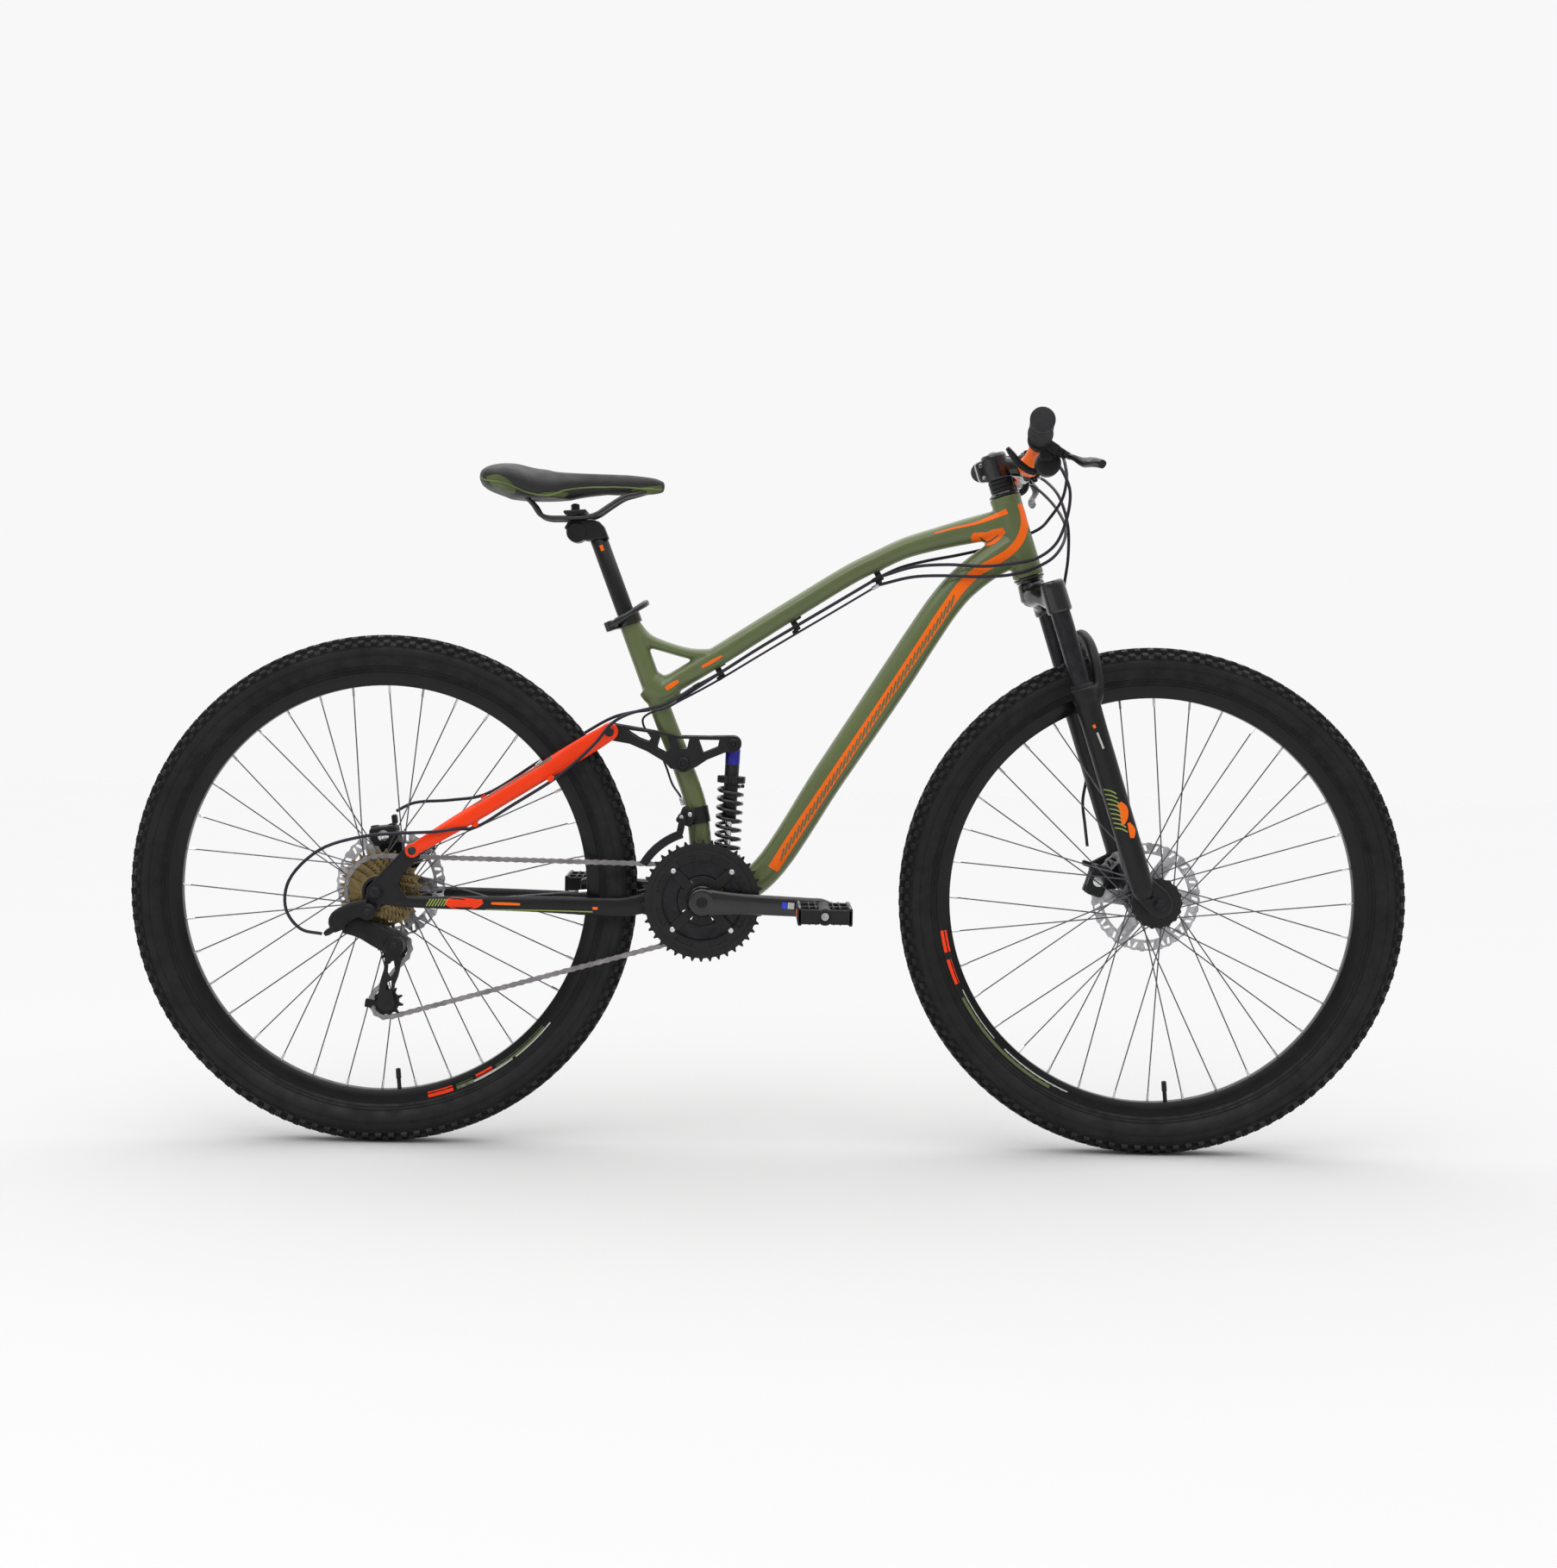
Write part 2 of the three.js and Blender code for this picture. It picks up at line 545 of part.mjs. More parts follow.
piece(steering, 'fork_uppers', 'black_paint', forkUppers());
piece(steering, 'stem', 'black_paint', stem());
piece(steering, 'stem_faceplate', 'black_paint', stemFaceplate());
piece(bike, 'handlebar', 'black_paint', handlebar());
piece(steering, 'fork_lowers', 'black_paint', forkLowers());
piece(steering, 'front_axle', 'dark_metal', join(
  cross([AXLE_FORWARD, AXLE_DOWN], -74, 74, AXLE_RADIUS),
  cross([AXLE_FORWARD, AXLE_DOWN], -74, -LEG_Y - 5 - GAP, 9),
  cross([AXLE_FORWARD, AXLE_DOWN], LEG_Y + 5 + GAP, 74, 9),
));

for (const [side, name] of [[-1, 'right'], [1, 'left']]) {
  const sided = (body) => (side < 0 ? body : mirrored(body));
  piece(bike, `grip_${name}`, 'grip_rubber', sided(grip()));
  piece(bike, `control_housing_${name}`, 'black_plastic', sided(controlHousing()));
  piece(bike, `brake_lever_${name}`, 'dark_metal', sided(brakeLever()));
  piece(bike, `shift_lever_${name}`, 'black_plastic', sided(shiftLever()));
}

// ---- wheels -------------------------------------------------------------------------------

// a spoked hub: the shell's profile is [radius, y] from right to left
function spokedHub(shell, flangeYs, boreRadius) {
  const tip = RIM_INNER_RADIUS - GAP - 0.5;
  const inner = FLANGE_RADIUS - 2;
  const spokes = Array.from({ length: SPOKES }, (_, i) => {
    const crossing = Math.floor(i / 2) % 2 ? 1 : -1;
    const y = flangeYs[i % 2] + 1.7 * crossing;
    const rimAngle = (i * 2 * Math.PI) / SPOKES;
    const hubAngle = rimAngle + crossing * THREE.MathUtils.degToRad(62);
    return rod(
      vec(inner * Math.cos(hubAngle), y, inner * Math.sin(hubAngle)),
      vec(tip * Math.cos(rimAngle), Math.sign(y) * 3, tip * Math.sin(rimAngle)),
      SPOKE_RADIUS, SPOKE_RADIUS, 3,
    );
  });
  const flanges = flangeYs.map((y) => cross([0, 0], y - 3.2, y + 3.2, FLANGE_RADIUS, 12));
  return cut(join(shell, ...flanges, ...spokes), cross([0, 0], -90, 90, boreRadius));
}

const rimRing = () => turned([
  [RIM_INNER_RADIUS, -6], [RIM_INNER_RADIUS + 6, -11], [RIM_OUTER_RADIUS, -RIM_HALF_WIDTH],
  [RIM_OUTER_RADIUS - 6, 0], [RIM_OUTER_RADIUS, RIM_HALF_WIDTH],
  [RIM_INNER_RADIUS + 6, 11], [RIM_INNER_RADIUS, 6],
], WHEEL_STEPS);

const tyreRing = () => {
  const half = [[318, 17.5], [331, 25.5], [343, TYRE_HALF_WIDTH], [357, 20], [TYRE_RADIUS, 6]];
  const sideOf = (sign) => half.map(([r, y]) => [r, sign * y]);
  return turned([[RIM_OUTER_RADIUS + GAP, -10], ...sideOf(-1), ...sideOf(1).reverse(),
    [RIM_OUTER_RADIUS + GAP, 10]], WHEEL_STEPS);
};

function brakeRotor(y) {
  const windows = Array.from({ length: 6 }, (_, i) => [
    ...arc([0, 0], ROTOR_RADIUS - 17, i * 60 + 8, i * 60 + 52, 3),
    ...arc([0, 0], 30, i * 60 + 46, i * 60 + 14, 1),
  ]);
  const half = ROTOR_HALF_THICKNESS;
  const disc = plate(arc([0, 0], ROTOR_RADIUS, 0, 350, 35), y - half, y + half, windows);
  return cut(disc, cross([0, 0], y - 5, y + 5, 19, 14));
}

const FRONT_ROTOR_Y = 41;
const REAR_ROTOR_Y = 48;

const wheels = {
  front: { centre: FRONT_AXLE, rotorY: FRONT_ROTOR_Y, flanges: [-32, 28] },
  rear: { centre: REAR_AXLE, rotorY: REAR_ROTOR_Y, flanges: [-27, 34] },
};
for (const wheel of Object.values(wheels)) {
  wheel.group = new THREE.Group();
  wheel.group.position.copy(at(wheel.centre));
  bike.add(wheel.group);
}

const frontShell = join(
  cross([0, 0], -48, 48, 9),
  cross([0, 0], -34, 40, 15, 14),
  cross([0, 0], -43.8, -36, 37, 20),
  cross([0, 0], 30, 43, 18.6, 14),
);
const rearShell = join(
  cross([0, 0], -66, 66, 8.5),
  cross([0, 0], -60, 0, 17.4, 14),
  cross([0, 0], -20, 50, 18.6, 14),
);
piece(wheels.front.group, 'front_hub', 'black_paint', spokedHub(frontShell, wheels.front.flanges, AXLE_RADIUS + GAP));
piece(wheels.rear.group, 'rear_hub', 'black_paint', spokedHub(rearShell, wheels.rear.flanges, AXLE_RADIUS + GAP));
for (const [name, wheel] of Object.entries(wheels)) {
  piece(wheel.group, `${name}_rim`, 'rim_black', rimRing());
  piece(wheel.group, `${name}_tyre`, 'tyre_rubber', tyreRing());
  piece(wheel.group, `${name}_rotor`, 'steel', brakeRotor(wheel.rotorY));
}

// calipers straddle their rotors; each stands in a group turned to the wheel's radius
function placeCaliper(name, wheel, angleDegrees, radius, length, footHeight) {
  const angle = THREE.MathUtils.degToRad(angleDegrees);
  const holder = new THREE.Group();
  holder.position.set(radius * Math.cos(angle), wheel.rotorY, radius * Math.sin(angle));
  holder.rotation.y = Math.PI - angle;
  wheel.group.add(holder);
  piece(holder, name, 'black_paint', caliper(length, footHeight));
}
placeCaliper('front_brake_caliper', wheels.front, 162, 76, 48, 15);
placeCaliper('rear_brake_caliper', wheels.rear, 98, 73, 44, REAR_OPENING - REAR_ROTOR_Y);

function freewheel() {
  const first = CHAIN_Y + SPROCKET_SPACING * CHAIN_SPROCKET;
  const sprockets = SPROCKET_TEETH.map((teeth, i) => {
    const y = first - i * SPROCKET_SPACING;
    const reach = i === CHAIN_SPROCKET ? -CHAIN_HALF_DEPTH - 1.2 : 3;
    return annulus(20, pitchRadius(teeth) + reach, y - 0.9, y + 0.9, 18);
  });
  return join(annulus(18.6, 24, first - 30, first + 0.9, 18), ...sprockets);
}
piece(wheels.rear.group, 'freewheel', 'bronze_steel', freewheel());

// ---- rear suspension ----------------------------------------------------------------------

function swingarm() {
  const stay = loft(
    [vec(-530, -70.5, 354), vec(-490, -69, 351), vec(-440, -62, 350), vec(-370, -51, 349),
      vec(-300, -41, 347), vec(-245, -35, 345), vec(-205, -33, 345), vec(-168, -31, 353), at(SWINGARM_PIVOT, -30.3)],
    [3.2, 5.5, 6.5, 6.5, 6, 5, 4.6, 4.8, 4.8],
    [8, 8.5, 9.5, 10.5, 12, 13.5, 14.5, 15, 13],
  );
  const dropout = plate(
    [[-567, 370], [-568, 350], [-572, 334], ...arc(HANGER_BOLT, 11, 200, 340, 4), [-545, 348], [-512, 344],
      [-505, 352], [-512, 364], [-523, 378], [-508, 398], [-492, 413], ...arc(STAY_PIVOT, 11, -20, 130, 6)],
    -REAR_OPENING - 6.5, -REAR_OPENING - GAP,
  );
  const hole = cross(REAR_AXLE, -90, -60, AXLE_RADIUS + GAP);
  const side = cut(
    join(stay, dropout, cross(SWINGARM_PIVOT, -35, -25.3, 13)),
    hole, cross(STAY_PIVOT, -90, -60, 5 + GAP, 12), cross(HANGER_BOLT, -90, -60, 5 + GAP, 12),
  );
  const bridge = box([-168, 0, 354], [18, 62, 28]);
  const brakeTab = plate([[-560, 368], [-582, 410], [-582, 448], [-546, 448], [-530, 400], [-524, 376]],
    REAR_OPENING + GAP, REAR_OPENING + 6.5);
  return cut(
    join(side, mirrored(side), bridge, brakeTab),
    cross(SWINGARM_PIVOT, -40, 40, 5 + GAP),
    cross(SWINGARM_PIVOT, -24.9, 24.9, 16.5, 14),
  );
}

function seatStay() {
  const alongStay = (t, y, lift = 0) => vec(
    THREE.MathUtils.lerp(STAY_PIVOT[0], ROCKER_REAR[0], t), y,
    THREE.MathUtils.lerp(STAY_PIVOT[1], ROCKER_REAR[1], t) + lift,
  );
  const arm = loft(
    [alongStay(0, -78.5), alongStay(0.1, -79.8), alongStay(0.25, -70), alongStay(0.45, -57), alongStay(0.65, -44),
      alongStay(0.78, -35), alongStay(0.9, -30.6), alongStay(1, -30)],
    [4, 5.5, 7, 7, 6.5, 4.5, 3.8, 3.8],
    [9, 10, 12, 12.5, 13, 14.5, 14, 12],
  );
  const side = join(
    arm,
    cross(STAY_PIVOT, -82.5, -74.4, 10.5),
    cross(ROCKER_REAR, -34, -26, 13, 14),
    cross(STAY_PIVOT, -84, -68.5, 5, 12),
  );
  return join(
    side, mirrored(side),
    cross(ROCKER_REAR, -34, -19.2, 5, 12),
    cross(ROCKER_REAR, 19.2, 34, 5, 12),
    cross([-250, 588], -28, 28, 5, 12),
  );
}

function rockerPlate() {
  const outline = [
    ...arc(ROCKER_REAR, 12.5, 90, 250, 6), [-202, 577], [-177, 567], [-152, 552.5],
    ...arc(ROCKER_PIVOT, 13, 235, 315, 3), [-91, 556], [-66, 566.5],
    ...arc(SHOCK_TOP, 12, -80, 90, 6), [-128, 590],
  ];
  const rearWindow = [[-209, 599], [-170, 593], [-172, 581], [-188, 585]];
  const middleWindow = [[-158, 591], [-147, 589.5], [-143, 570], [-152, 577]];
  const frontWindow = [[-101, 585], [-74, 585], [-76, 575], [-95, 569]];
  return cut(
    plate(outline, -25.4, -19.4, [rearWindow, middleWindow, frontWindow]),
    cross(ROCKER_REAR, -30, -10, 7.8, 16),
    cross(ROCKER_PIVOT, -30, -10, 6 + GAP, 16),
    cross(SHOCK_TOP, -30, -10, 5 + GAP, 16),
  );
}

const SHOCK_LENGTH = Math.hypot(SHOCK_TOP[0] - SHOCK_BOTTOM[0], SHOCK_TOP[1] - SHOCK_BOTTOM[1]);
const SPRING_TOP = -57;                // below the shock's upper eye
const SPRING_BOTTOM = -160;
const SPRING_TURNS = 6.5;
const SPRING_RADIUS = 17;
const WIRE_RADIUS = 3;

// +Z runs up the shock, and the origin is its upper eye
const shock = new THREE.Group();
shock.position.copy(at(SHOCK_TOP));
shock.rotation.y = Math.atan2(SHOCK_TOP[0] - SHOCK_BOTTOM[0], SHOCK_TOP[1] - SHOCK_BOTTOM[1]);
bike.add(shock);

function shockBody() {
  return cut(
    join(
      cross([0, 0], -12, 12, 11, 16),
      cross([0, 0], -30, 30, 5, 12),
      cross([0, 0], -30, -25.9, 8, 12),
      cross([0, 0], 25.9, 30, 8, 12),
      rod(vec(0, 0, -6), vec(0, 0, -112), 10.3, 10.3, 14),
      rod(vec(0, 0, -47), vec(0, 0, SPRING_TOP + GAP), 20.5, 20.5, 16),
    ),
    rod(vec(0, 0, -48), vec(0, 0, -120), 5 + GAP, 5 + GAP, 12),
  );
}

function shockShaft() {
  return cut(
    join(
      rod(vec(0, 0, -100), vec(0, 0, -SHOCK_LENGTH + 4), 5, 5, 12),
      rod(vec(0, 0, SPRING_BOTTOM - GAP), vec(0, 0, SPRING_BOTTOM - 6), 20.5, 19, 16),
      cross([0, -SHOCK_LENGTH], -12.5, 12.5, 11, 16),
    ),
    cross([0, -SHOCK_LENGTH], -20, 20, 6.4, 16),
  );
}

function shockSpring() {
  const count = Math.round(SPRING_TURNS * 8);
  const height = SPRING_TOP - SPRING_BOTTOM - 2 * WIRE_RADIUS;
  const line = Array.from({ length: count + 1 }, (_, i) => {
    const t = i / count;
    const angle = t * SPRING_TURNS * 2 * Math.PI;
    return vec(SPRING_RADIUS * Math.cos(angle), SPRING_RADIUS * Math.sin(angle),
      SPRING_TOP - WIRE_RADIUS - t * height);
  });
  return loft(line, WIRE_RADIUS, WIRE_RADIUS, { sides: 5, across: vec(0, 0, 1) });
}

piece(bike, 'swingarm', 'black_paint', swingarm());
piece(bike, 'rear_axle', 'dark_metal', join(
  cross(REAR_AXLE, -82, 82, AXLE_RADIUS),
  cross(REAR_AXLE, -82, -REAR_OPENING - 6.5 - GAP, 9),
  cross(REAR_AXLE, REAR_OPENING + 6.5 + GAP, 82, 9),
));
piece(bike, 'seatstay', 'orange_paint', seatStay());
piece(bike, 'rocker_right', 'black_paint', rockerPlate());
piece(bike, 'rocker_left', 'black_paint', mirrored(rockerPlate()));
piece(shock, 'shock_body', 'dark_metal', shockBody());
piece(shock, 'shock_shaft', 'chrome', shockShaft());
piece(shock, 'shock_spring', 'black_paint', shockSpring());

// ---- drivetrain ---------------------------------------------------------------------------

const pedalPoint = (side) => [
  CRANK_CENTRE[0] - side * CRANK_LENGTH * Math.cos(CRANK_DROP),
  CRANK_CENTRE[1] + side * CRANK_LENGTH * Math.sin(CRANK_DROP),
];
const RIGHT_PEDAL = pedalPoint(-1);
const LEFT_PEDAL = pedalPoint(1);
const ARM_INNER = 64;
const ARM_OUTER = 78;
const PEDAL_INNER = 87;
const PEDAL_OUTER = 182;

function crankArm() {
  const outline = [...arc(CRANK_CENTRE, 20, 90, 270, 8), ...arc(RIGHT_PEDAL, 14, -90, 90, 8)];
  return join(
    plate(outline, -ARM_OUTER, -ARM_INNER),
    cross(RIGHT_PEDAL, -PEDAL_OUTER + 6, -ARM_OUTER + 2, 6.5, 12),
  );
}

function rightCrank() {
  const spider = [0, 1, 2, 3].map((i) => {
    const angle = i * Math.PI / 2 + Math.PI / 4;
    const [x, z] = CRANK_CENTRE;
    return box([x + 38 * Math.cos(angle), -51, z + 38 * Math.sin(angle)], [52, 3.4, 15], -angle);
  });
  return join(
    crankArm(),
    cross(CRANK_CENTRE, -ARM_INNER - 2, -49.3, 23, 16),
    cross(CRANK_CENTRE, -ARM_INNER - 2, 74.5, 8.5, 16),
    ...spider,
  );
}

function leftCrank() {
  const [x, z] = CRANK_CENTRE;
  return cut(
    mirrored(crankArm().translate([-x, 0, -z]).rotate([0, 180, 0]).translate([x, 0, z])),
    cross(CRANK_CENTRE, 40, 90, 8.5 + GAP, 16),
  );
}

function toothedRing(teeth, inner, y, halfThickness) {
  const root = pitchRadius(teeth) - 3.4;
  const tip = pitchRadius(teeth) + 1.8;
  const [x, z] = CRANK_CENTRE;
  const outline = [];
  for (let i = 0; i < teeth; i += 1) {
    for (const [radius, share] of [[root, 0], [tip, 0.5]]) {
      const angle = ((i + share) / teeth) * 2 * Math.PI;
      outline.push([x + radius * Math.cos(angle), z + radius * Math.sin(angle)]);
    }
  }
  return plate(outline, y - halfThickness, y + halfThickness, [arc(CRANK_CENTRE, inner, 0, 340, 17)]);
}

function innerRings() {
  const posts = [0, 1, 2, 3].map((i) => {
    const [x, z] = arc(CRANK_CENTRE, 39, 0, 270, 3)[i];
    return cross([x, z], -46.5, CHAIN_Y, 4.5, 8);
  });
  const [x, z] = CRANK_CENTRE;
  const innerRadius = pitchRadius(INNER_RING_TEETH) - CHAIN_HALF_DEPTH - 1.2;
  return join(
    annulus(34, pitchRadius(MIDDLE_RING_TEETH) + 1.8, -48.9, -46.3, 24).translate([x, 0, z]),
    annulus(32, innerRadius, CHAIN_Y - 1.1, CHAIN_Y + 1.1, 20).translate([x, 0, z]),
    ...posts,
  );
}

function pedal([x, z]) {
  const cage = cut(
    box([x, -(PEDAL_INNER + PEDAL_OUTER) / 2, z], [76, PEDAL_OUTER - PEDAL_INNER, 25]),
    box([x - 20, -(PEDAL_INNER + PEDAL_OUTER) / 2, z], [18, 76, 40]),
    box([x + 20, -(PEDAL_INNER + PEDAL_OUTER) / 2, z], [18, 76, 40]),
  );
  return cut(cage, cross([x, z], -PEDAL_OUTER + 4, -PEDAL_INNER + 5, 6.5 + GAP, 12));
}

// A chain's side view: each circle is [centre, radius], in the order that the chain meets them
// going anticlockwise. The radius is negative where the chain bends back over a circle.
function beltOutline(circles, offset) {
  const normalOf = ([from, fromRadius], [to, toRadius]) => {
    const [dx, dz] = [to[0] - from[0], to[1] - from[1]];
    return Math.atan2(dz, dx) + Math.acos((toRadius - fromRadius) / Math.hypot(dx, dz));
  };
  return circles.flatMap((circle, i) => {
    const [[x, z], radius] = circle;
    const start = normalOf(circles.at(i - 1), circle);
    let sweep = normalOf(circle, circles[(i + 1) % circles.length]) - start;
    const fullTurn = Math.sign(radius) * 2 * Math.PI;
    sweep = ((sweep % fullTurn) + fullTurn) % fullTurn;
    const steps = Math.max(3, Math.ceil(Math.abs(sweep) / 0.3));
    return Array.from({ length: steps + 1 }, (_, k) => {
      const angle = start + sweep * k / steps;
      return [x - (radius + offset) * Math.cos(angle), z - (radius + offset) * Math.sin(angle)];
    });
  });
}

const CHAIN_CIRCLES = [
  [CRANK_CENTRE, pitchRadius(INNER_RING_TEETH)],
  [REAR_AXLE, pitchRadius(SPROCKET_TEETH[CHAIN_SPROCKET])],
  [GUIDE_PULLEY, -pitchRadius(PULLEY_TEETH)],
  [TENSION_PULLEY, pitchRadius(PULLEY_TEETH)],
];

const chain = () => plate(
  beltOutline(CHAIN_CIRCLES, CHAIN_HALF_DEPTH),
  CHAIN_Y - CHAIN_HALF_WIDTH, CHAIN_Y + CHAIN_HALF_WIDTH,
  [beltOutline(CHAIN_CIRCLES, -CHAIN_HALF_DEPTH)],
);

function rearDerailleurBody() {
  const knuckle = cross(HANGER_BOLT, -92, -74.4, 12, 14);
  const bolt = cross(HANGER_BOLT, -92, -68, 5, 12);
  const upperArm = plate([[-565, 349], [-600, 340], [-612, 326], [-604, 308], [-590, 306], [-560, 328]], -92, -80);
  const link = plate([[-606, 328], [-586, 332], [-520, 303], [-516, 280], [-536, 276], [-600, 306]], -79.6, -66);
  const lowerKnuckle = cross(CAGE_PIVOT, -80, -49, 15, 16);
  const barrel = rod(vec(-603, -76, 318), vec(-624, -76, 304), 4.5, 3.5, 10);
  return join(knuckle, bolt, upperArm, link, lowerKnuckle, barrel, cross([-597, 320], -88, -70, 9, 12));
}

function rearDerailleurCage() {
  const heading = Math.atan2(GUIDE_PULLEY[1] - TENSION_PULLEY[1], GUIDE_PULLEY[0] - TENSION_PULLEY[0]);
  const degrees = THREE.MathUtils.radToDeg(heading);
  const outline = [
    ...arc(GUIDE_PULLEY, 13, degrees - 90, degrees + 90, 8),
    ...arc(TENSION_PULLEY, 13, degrees + 90, degrees + 270, 8),
  ];
  return join(
    plate(outline, -35.2, -33.6),
    plate(outline, -45.2, -43.6),
    cross(GUIDE_PULLEY, -45, -34, 3, 8),
    cross(TENSION_PULLEY, -45, -34, 3, 8),
    cross(CAGE_PIVOT, -48.7, -44, 11, 14),
  );
}

const pulley = ([x, z]) => annulus(3 + GAP, pitchRadius(PULLEY_TEETH) - CHAIN_HALF_DEPTH - 0.4,
  CHAIN_Y - 2, CHAIN_Y + 2, 20).translate([x, 0, z]);

piece(bike, 'crankset_right', 'black_paint', rightCrank());
piece(bike, 'crank_arm_left', 'black_paint', leftCrank());
piece(bike, 'chainring_outer', 'black_paint', toothedRing(OUTER_RING_TEETH, 60, -54.4, 1.2));
piece(bike, 'chainring_inner_pair', 'dark_metal', innerRings());
piece(bike, 'pedal_right', 'black_plastic', pedal(RIGHT_PEDAL));
piece(bike, 'pedal_left', 'black_plastic', mirrored(pedal(LEFT_PEDAL)));
piece(bike, 'chain', 'chain_steel', chain());
piece(bike, 'rear_derailleur_body', 'dark_metal', rearDerailleurBody());
piece(bike, 'rear_derailleur_cage', 'dark_metal', rearDerailleurCage());
piece(bike, 'guide_pulley', 'black_plastic', pulley(GUIDE_PULLEY));
piece(bike, 'tension_pulley', 'black_plastic', pulley(TENSION_PULLEY));

// ---- cables -------------------------------------------------------------------------------

const CABLE_RADIUS = 2.4;

// points the cables follow, from the bar to the brake or gear that each one works
const cableRoutes = {
  front_brake_cable: [
    [392, 152, 986], [396, 128, 984], [404, 92, 974], [418, 52, 948], [428, 30, 905], [430, 34, 860],
    [428, 58, 815], [428, 78, 775], [434, 84, 720], [446, 84, 660], [462, 84, 600], [470, 82, 540],
    [464, 76, 500], [466, 64, 466], [468, 52, 436],
  ],
  rear_brake_cable: [
    [392, -152, 986], [400, -120, 978], [408, -84, 962], [408, -44, 936], [396, -8, 912], [386, 16, 899],
    [366, 28, 889], [338, 28, 880], [306, 24, 868], [268, 12, 858], [220, 7, 848], [184, 6, 838],
    [152, 6, 823], [92, 6, 786], [33, 6, 750], [-22, 6, 716], [-75, 6, 681], [-130, 14, 644],
    [-166, 24, 628], [-205, 36, 621], [-232, 40, 613], [-280, 42, 585], [-340, 50, 546], [-420, 62, 496],
    [-470, 66, 487], [-524, 62, 482], [-548, 56, 470],
  ],
  rear_shift_cable: [
    [384, -148, 978], [398, -122, 966], [412, -92, 942], [412, -60, 905], [400, -41, 872], [376, -36, 853],
    [345, -35, 845], [300, -30, 840], [250, -20, 842], [200, -12, 838], [152, -6, 823], [92, -6, 786],
    [33, -6, 750], [-22, -6, 716], [-75, -6, 681], [-112, -16, 660], [-150, -30, 636], [-205, -40, 620],
    [-228, -41, 606], [-250, -45, 578], [-292, -49, 538], [-312, -50, 523], [-365, -54, 489], [-417, -68, 457],
    [-440, -83, 456], [-470, -88, 452], [-524, -92, 449], [-570, -94, 444], [-630, -94, 424], [-672, -92, 380],
    [-676, -88, 340], [-656, -82, 312], [-627, -77, 305],
  ],
  front_shift_cable: [
    [384, 148, 978], [402, 112, 958], [418, 68, 930], [424, 24, 900], [414, -10, 872], [394, -26, 850],
    [350, -29, 831], [300, -28, 825], [250, -24, 826], [200, -6, 824], [152, 0, 812], [92, 0, 775],
    [33, 0, 739], [-22, 0, 705], [-75, 0, 672], [-108, -5, 653], [-132, -14, 640], [-150, -19.5, 630],
    [-170, -19.5, 624], [-184, -10, 614], [-183, -3, 602], [-174, -2, 590], [-162, -4, 570], [-150, -8, 545], [-140, -18, 520],
    [-128, -24, 503], [-124, -24, 491],
  ],
};

for (const [name, route] of Object.entries(cableRoutes)) {
  const line = route.map(([x, y, z]) => vec(x, y, z));
  piece(bike, name, 'cable_housing', loft(line, CABLE_RADIUS, CABLE_RADIUS, { sides: 5 }));
}

export default bike;
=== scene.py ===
# The looks of a full-suspension mountain bike with 29-inch wheels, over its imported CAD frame.
# Sizes in the tables are millimetres in the row frame: +X forwards, +Y to the rider's left, +Z up.

import math

import bmesh
import bpy
from mathutils import Matrix, Vector
from mathutils.bvhtree import BVHTree


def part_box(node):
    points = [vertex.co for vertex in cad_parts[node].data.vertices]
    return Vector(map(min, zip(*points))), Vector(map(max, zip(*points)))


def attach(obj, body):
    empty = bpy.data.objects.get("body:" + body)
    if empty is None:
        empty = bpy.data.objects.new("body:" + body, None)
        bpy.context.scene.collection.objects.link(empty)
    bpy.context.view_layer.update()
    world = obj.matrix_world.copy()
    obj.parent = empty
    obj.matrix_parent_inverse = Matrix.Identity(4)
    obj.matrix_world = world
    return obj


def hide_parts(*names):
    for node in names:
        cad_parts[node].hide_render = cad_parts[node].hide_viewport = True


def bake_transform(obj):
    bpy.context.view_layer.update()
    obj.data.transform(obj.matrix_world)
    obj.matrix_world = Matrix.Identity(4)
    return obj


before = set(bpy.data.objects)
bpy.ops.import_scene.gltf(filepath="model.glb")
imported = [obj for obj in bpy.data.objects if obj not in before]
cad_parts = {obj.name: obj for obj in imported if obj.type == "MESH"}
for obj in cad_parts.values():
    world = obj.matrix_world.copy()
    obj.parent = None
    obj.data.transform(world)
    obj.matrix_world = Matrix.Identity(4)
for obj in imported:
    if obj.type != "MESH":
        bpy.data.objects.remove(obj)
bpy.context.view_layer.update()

MM = 0.001
SIDE = Vector((0, 1, 0))
UP = Vector((0, 0, 1))
FORWARD = Vector((1, 0, 0))

WHEELBASE = 1105
REAR_AXLE = (-552.5, 364)
FRONT_AXLE = (552.5, 364)
CRANK = (-94, 358)
SWINGARM_PIVOT = (-140, 360)
STAY_PIVOT = (-502, 424.5)
ROCKER_REAR = (-231, 594.5)
ROCKER_PIVOT = (-125, 550.6)
SHOCK_TOP = (-53.5, 579.5)
SHOCK_BOTTOM = (-62, 392)
HEAD_BOTTOM = Vector((368.1, 0, 827.6))
HEAD_TILT = math.radians(17.5)
SEAT_TOP = Vector((-211, 0, 762))
SEAT_TILT = math.radians(21)
LEG_Y = 62
CHAIN_Y = -39.5
PITCH = 12.7

STEERING = Matrix.Translation(HEAD_BOTTOM) @ Matrix.Rotation(-HEAD_TILT, 4, "Y")
SEAT = Matrix.Translation(SEAT_TOP) @ Matrix.Rotation(-SEAT_TILT, 4, "Y")


# ---- materials ----------------------------------------------------------------------------

